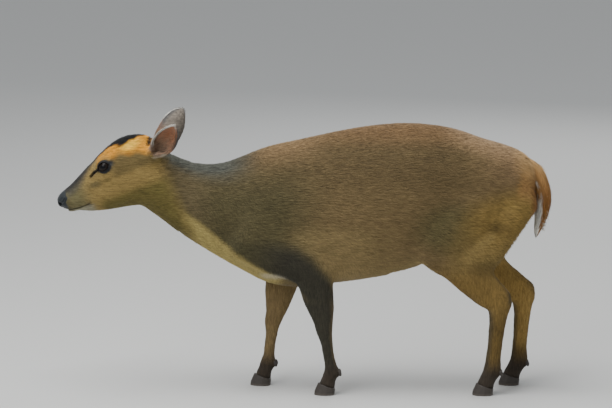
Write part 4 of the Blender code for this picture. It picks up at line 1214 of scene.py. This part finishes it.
def grow_lashes(count=44):
    rows = []
    for turn in SIDES.values():
        middle, along, up, out = eye_axes(turn)
        share = np.clip(np.linspace(-0.7, 0.97, count) + draw.normal(0, 0.012, count), -1, 1)
        rim = lid_rim(np.abs(share)) + 0.6
        flat = along * (share * EYE_LENGTH)[:, None] + up * rim[:, None]
        ahead = np.sqrt((EYE_RADIUS + 0.8) ** 2 - (flat ** 2).sum(1))
        roots = middle + (flat + out * ahead[:, None]) * MM
        way = unit(out * 0.85 + up * 0.3 + along * (share * 0.45)[:, None])
        facing = unit(up - way * (way @ up)[:, None])
        rows.append((roots, facing, way, np.tile(-up * 0.002, (count, 1))))
    roots, facing, way, bend = (np.concatenate(part) for part in zip(*rows))
    count = len(roots)
    hair_piece("coat_lashes", roots, facing, way, BLACK, flat_places(roots),
               draw.random(count), draw.uniform(4, 6, count) * MM, np.full(count, 0.35) * MM,
               np.zeros(count), bend, 4, 0.5, 0.9)


def grow_whiskers(count=26):
    along, side, up = in_head(skin_points)
    zone = ease(along, 10, 16) * ease(along, 44, 34) * ease(up, -4, -9) * ease(np.abs(side), 4, 8)
    roots, facing = scatter(zone * count / 0.0014)
    count = len(roots)
    way = unit(facing * 0.75 + BACK * 0.55 - OVER * 0.45)
    across = unit(np.cross(way, facing))
    size = draw.uniform(8, 16, count) * MM
    hair_piece("coat_whiskers", roots, np.cross(across, way), way, BRIDGE, flat_places(roots),
               draw.random(count), size, np.full(count, 0.28) * MM, np.zeros(count),
               -OVER * size[:, None] * 0.15, 5, 0.6, 0.9)
    print("whiskers:", count)


grow_crown()
grow_lashes()
grow_whiskers()

# %% [markdown]
# ## Eyes
# A deer's eye is large, dark and wet, with a pupil that lies level. The ball is a fine sphere with
# a slight bulge for the clear front. The iris and pupil are rings of colour about its outward
# axis, and a clear coat gives the wet glint.

# %% Eyes
PUPIL = (0.42, 0.26)


def eye(name, side):
    middle, along, up, out = eye_axes(side)
    bm = bmesh.new()
    bmesh.ops.create_uvsphere(bm, u_segments=64, v_segments=40, radius=1)
    mesh = mesh_of(bm, "eye_" + name)
    mesh.shade_smooth()
    ball = points_of(mesh)
    bulge = 1 + 0.05 * ease(ball[:, 2], 0.72, 0.96)
    ball = ball * bulge[:, None] * (EYE_RADIUS - 0.1) * MM
    put_points(mesh, middle + ball[:, :1] * along + ball[:, 1:2] * up + ball[:, 2:] * out)
    level = unit(along - up * 0.3)
    raised = np.cross(out, level)
    local = (points_of(mesh) - middle) / (EYE_RADIUS * MM)
    keep_floats(mesh, "pupil", np.hypot((local @ level) / PUPIL[0], (local @ raised) / PUPIL[1]))
    keep_floats(mesh, "ring", np.where(local @ out > 0, np.hypot(local @ along, local @ up), 2.0))
    obj = new_object("eyeball_" + name, mesh)
    obj.data.materials.append(eye_finish)
    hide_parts("eye_" + name)
    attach(obj, "root")


def eye_material():
    material, shader = new_material("wet_eye", Roughness=0.3, Specular_IOR_Level=0.1, Coat_Weight=0.4,
                                    Coat_Roughness=0.03, Coat_IOR=1.36)
    place = place_in(material)
    pupil, ring = stored(place, "pupil"), stored(place, "ring")
    rays = place.noise(900, 2.0)
    iris = rays.tint((0.005, 0.003, 0.002, 1), (0.014, 0.008, 0.005, 1))
    white = ring.between(0.70, 0.80).tint(iris, (0.02, 0.015, 0.012, 1))
    feed(shader, Base_Color=pupil.between(0.9, 1.1).tint((0.001, 0.001, 0.002, 1), white))
    return material


eye_finish = eye_material()
for name, side in SIDES.items():
    eye(name, side)

# %% [markdown]
# ## Hooves
# Each hoof is a slim cloven claw of dark horn, with faint rings where it has grown and a paler,
# scuffed edge at the ground. The solid gives its outline, and a remesh rounds its edges.

# %% Hooves
def hoof_material():
    material, shader = new_material("hoof_horn_dark")
    place = place_in(material)
    growth = place.scaled((0.25, 0.25, 1)).noise(900, 2.0)
    scuff = place.noise(260, 4.0)
    tone = growth.tint((0.020, 0.016, 0.013, 1), (0.060, 0.048, 0.038, 1))
    height = place.node("ShaderNodeSeparateXYZ", (), {0: place}, "Z")
    worn = (1 - height.between(0.001, 0.006)) * scuff
    feed(shader, Base_Color=worn.tint(tone, (0.13, 0.11, 0.09, 1)), Roughness=0.36 + scuff * 0.3,
         Normal=bump(growth + scuff * 0.4, 0.35, 0.0006))
    return material


hoof_finish = hoof_material()
SOLE_EDGE = 0.006
HOOF_RISE = 0.0012


def hoof(node):
    """Rounds a copy of the solid claw, and draws its top up into the skin above."""
    obj = new_object(node.replace("hoof", "claw"), nodes[node].data.copy())
    obj.data.materials.clear()
    remesh = obj.modifiers.new("round", "REMESH")
    remesh.mode = "VOXEL"
    remesh.voxel_size = 0.8 * MM
    smoother = obj.modifiers.new("smooth", "SMOOTH")
    smoother.iterations = 4
    apply_modifiers(obj)
    points = points_of(obj.data)
    points[:, 2] += HOOF_RISE * ease(points[:, 2], SOLE_EDGE, points[:, 2].max())
    points[:, 2] -= points[:, 2].min()
    put_points(obj.data, points)
    obj.data.materials.append(hoof_finish)
    obj.data.shade_smooth()
    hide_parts(node)
    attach(obj, "root")


for node in sorted(nodes):
    if node.startswith("hoof"):
        hoof(node)

# %% [markdown]
# ## Dewclaws
# Two small horny claws hang behind each fetlock, one above each hoof. They are short blunt cones,
# turned from a profile and laid against the back of the leg where a ray from behind meets it.

# %% Dewclaws
DEWCLAW = [(0, 2.6), (0.25, 3.6), (0.55, 3.5), (0.8, 2.5), (0.95, 1.2)]
DEWCLAW_LENGTH = 11.5
DEWCLAW_HEIGHT = 41
BEHIND = 0.06
skin_tree = BVHTree.FromPolygons(skin_points.tolist(), skin_triangles.tolist())


def dewclaws(around=16):
    bm = bmesh.new()
    for node in sorted(nodes):
        if not node.startswith("hoof"):
            continue
        low, high = (np.array(corner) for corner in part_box(node))
        y = (low[1] + high[1]) / 2
        start = Vector((high[0] + BEHIND, y, DEWCLAW_HEIGHT * MM))
        top = np.array(skin_tree.ray_cast(start, Vector((-1, 0, 0)))[0]) + np.array((-0.5, 0, 3.5)) * MM
        down = unit(np.array((0.35, 0, -1.0)))
        back = np.array((-down[2], 0, down[0]))
        angles = np.arange(around) * math.tau / around
        spokes = np.outer(np.cos(angles), back) + np.outer(np.sin(angles), (0, 1, 0)) * 0.85
        add_tube(bm, [top + down * share * DEWCLAW_LENGTH * MM + spokes * radius * MM
                      for share, radius in DEWCLAW])
    bmesh.ops.recalc_face_normals(bm, faces=bm.faces)
    mesh = mesh_of(bm, "dewclaws")
    mesh.materials.append(hoof_finish)
    obj = new_object("dewclaws", mesh)
    rounder = obj.modifiers.new("round", "SUBSURF")
    rounder.levels = rounder.render_levels = 1
    apply_modifiers(obj)
    obj.data.shade_smooth()
    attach(obj, "root")


dewclaws()

# %% [markdown]
# ## Hand the pieces to the frame
# The skin stands for every solid of flesh. The coat pieces ride with it.

# %% Ride and replace
flesh = solids_of("torso", "neck", "head", "nose", "ear", "foreleg", "hindleg", "tail")
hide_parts(*flesh)
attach(skin, "root")
for piece in coat_pieces:
    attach(piece, "root")

# %% [markdown]
# ## Studio and camera
# A pale floor, a broad soft light above and weaker ones in front and behind give even light. The
# camera faces the animal's side from nine degrees up, with a long lens as for wildlife.

# %% Floor, lights and camera
FLOOR_REACH = 30
floor_corners = np.array([(-1, -1, 0), (1, -1, 0), (1, 1, 0), (-1, 1, 0)]) * FLOOR_REACH
floor = new_object("floor", mesh_from("floor", floor_corners, np.array([[0, 1, 2, 3]])))
floor_finish, _ = new_material("pale_floor", Roughness=0.9, Base_Color=(0.62, 0.62, 0.60, 1))
floor.data.materials.append(floor_finish)


def area_light(name, place, aim, size, power):
    light = bpy.data.lights.new(name, "AREA")
    light.size = size
    light.energy = power
    obj = new_object(name, light)
    obj.location = place
    obj.rotation_euler = (Vector(aim) - Vector(place)).to_track_quat("-Z", "Y").to_euler()


area_light("light_above", (-0.6, -0.5, 2.6), (0, 0, 0.3), 1.8, 70)
area_light("light_front", (-1.6, -3.0, 2.3), (0, 0, 0.3), 1.6, 34)
area_light("light_behind", (1.0, 3.0, 1.8), (0, 0, 0.3), 2.2, 22)
world = bpy.context.scene.world or bpy.data.worlds.new("studio")
bpy.context.scene.world = world
world.use_nodes = True
world.node_tree.nodes["Background"].inputs["Color"].default_value = (0.9, 0.93, 0.97, 1)
world.node_tree.nodes["Background"].inputs["Strength"].default_value = 0.55

DISTANCE = 6.0
RAISED = math.radians(9)
PICTURE_WIDTH = 612
PIXEL = 0.00175
SENSOR_WIDTH = 36
target = Vector((0.0022, 0, 0.3314))
camera_data = bpy.data.cameras.new("camera")
camera_data.sensor_width = SENSOR_WIDTH
camera_data.lens = SENSOR_WIDTH * DISTANCE / (PICTURE_WIDTH * PIXEL)
camera = new_object("camera", camera_data)
camera.location = target + Vector((0, -math.cos(RAISED), math.sin(RAISED))) * DISTANCE
camera.rotation_euler = (target - camera.location).to_track_quat("-Z", "Y").to_euler()
bpy.context.scene.camera = camera
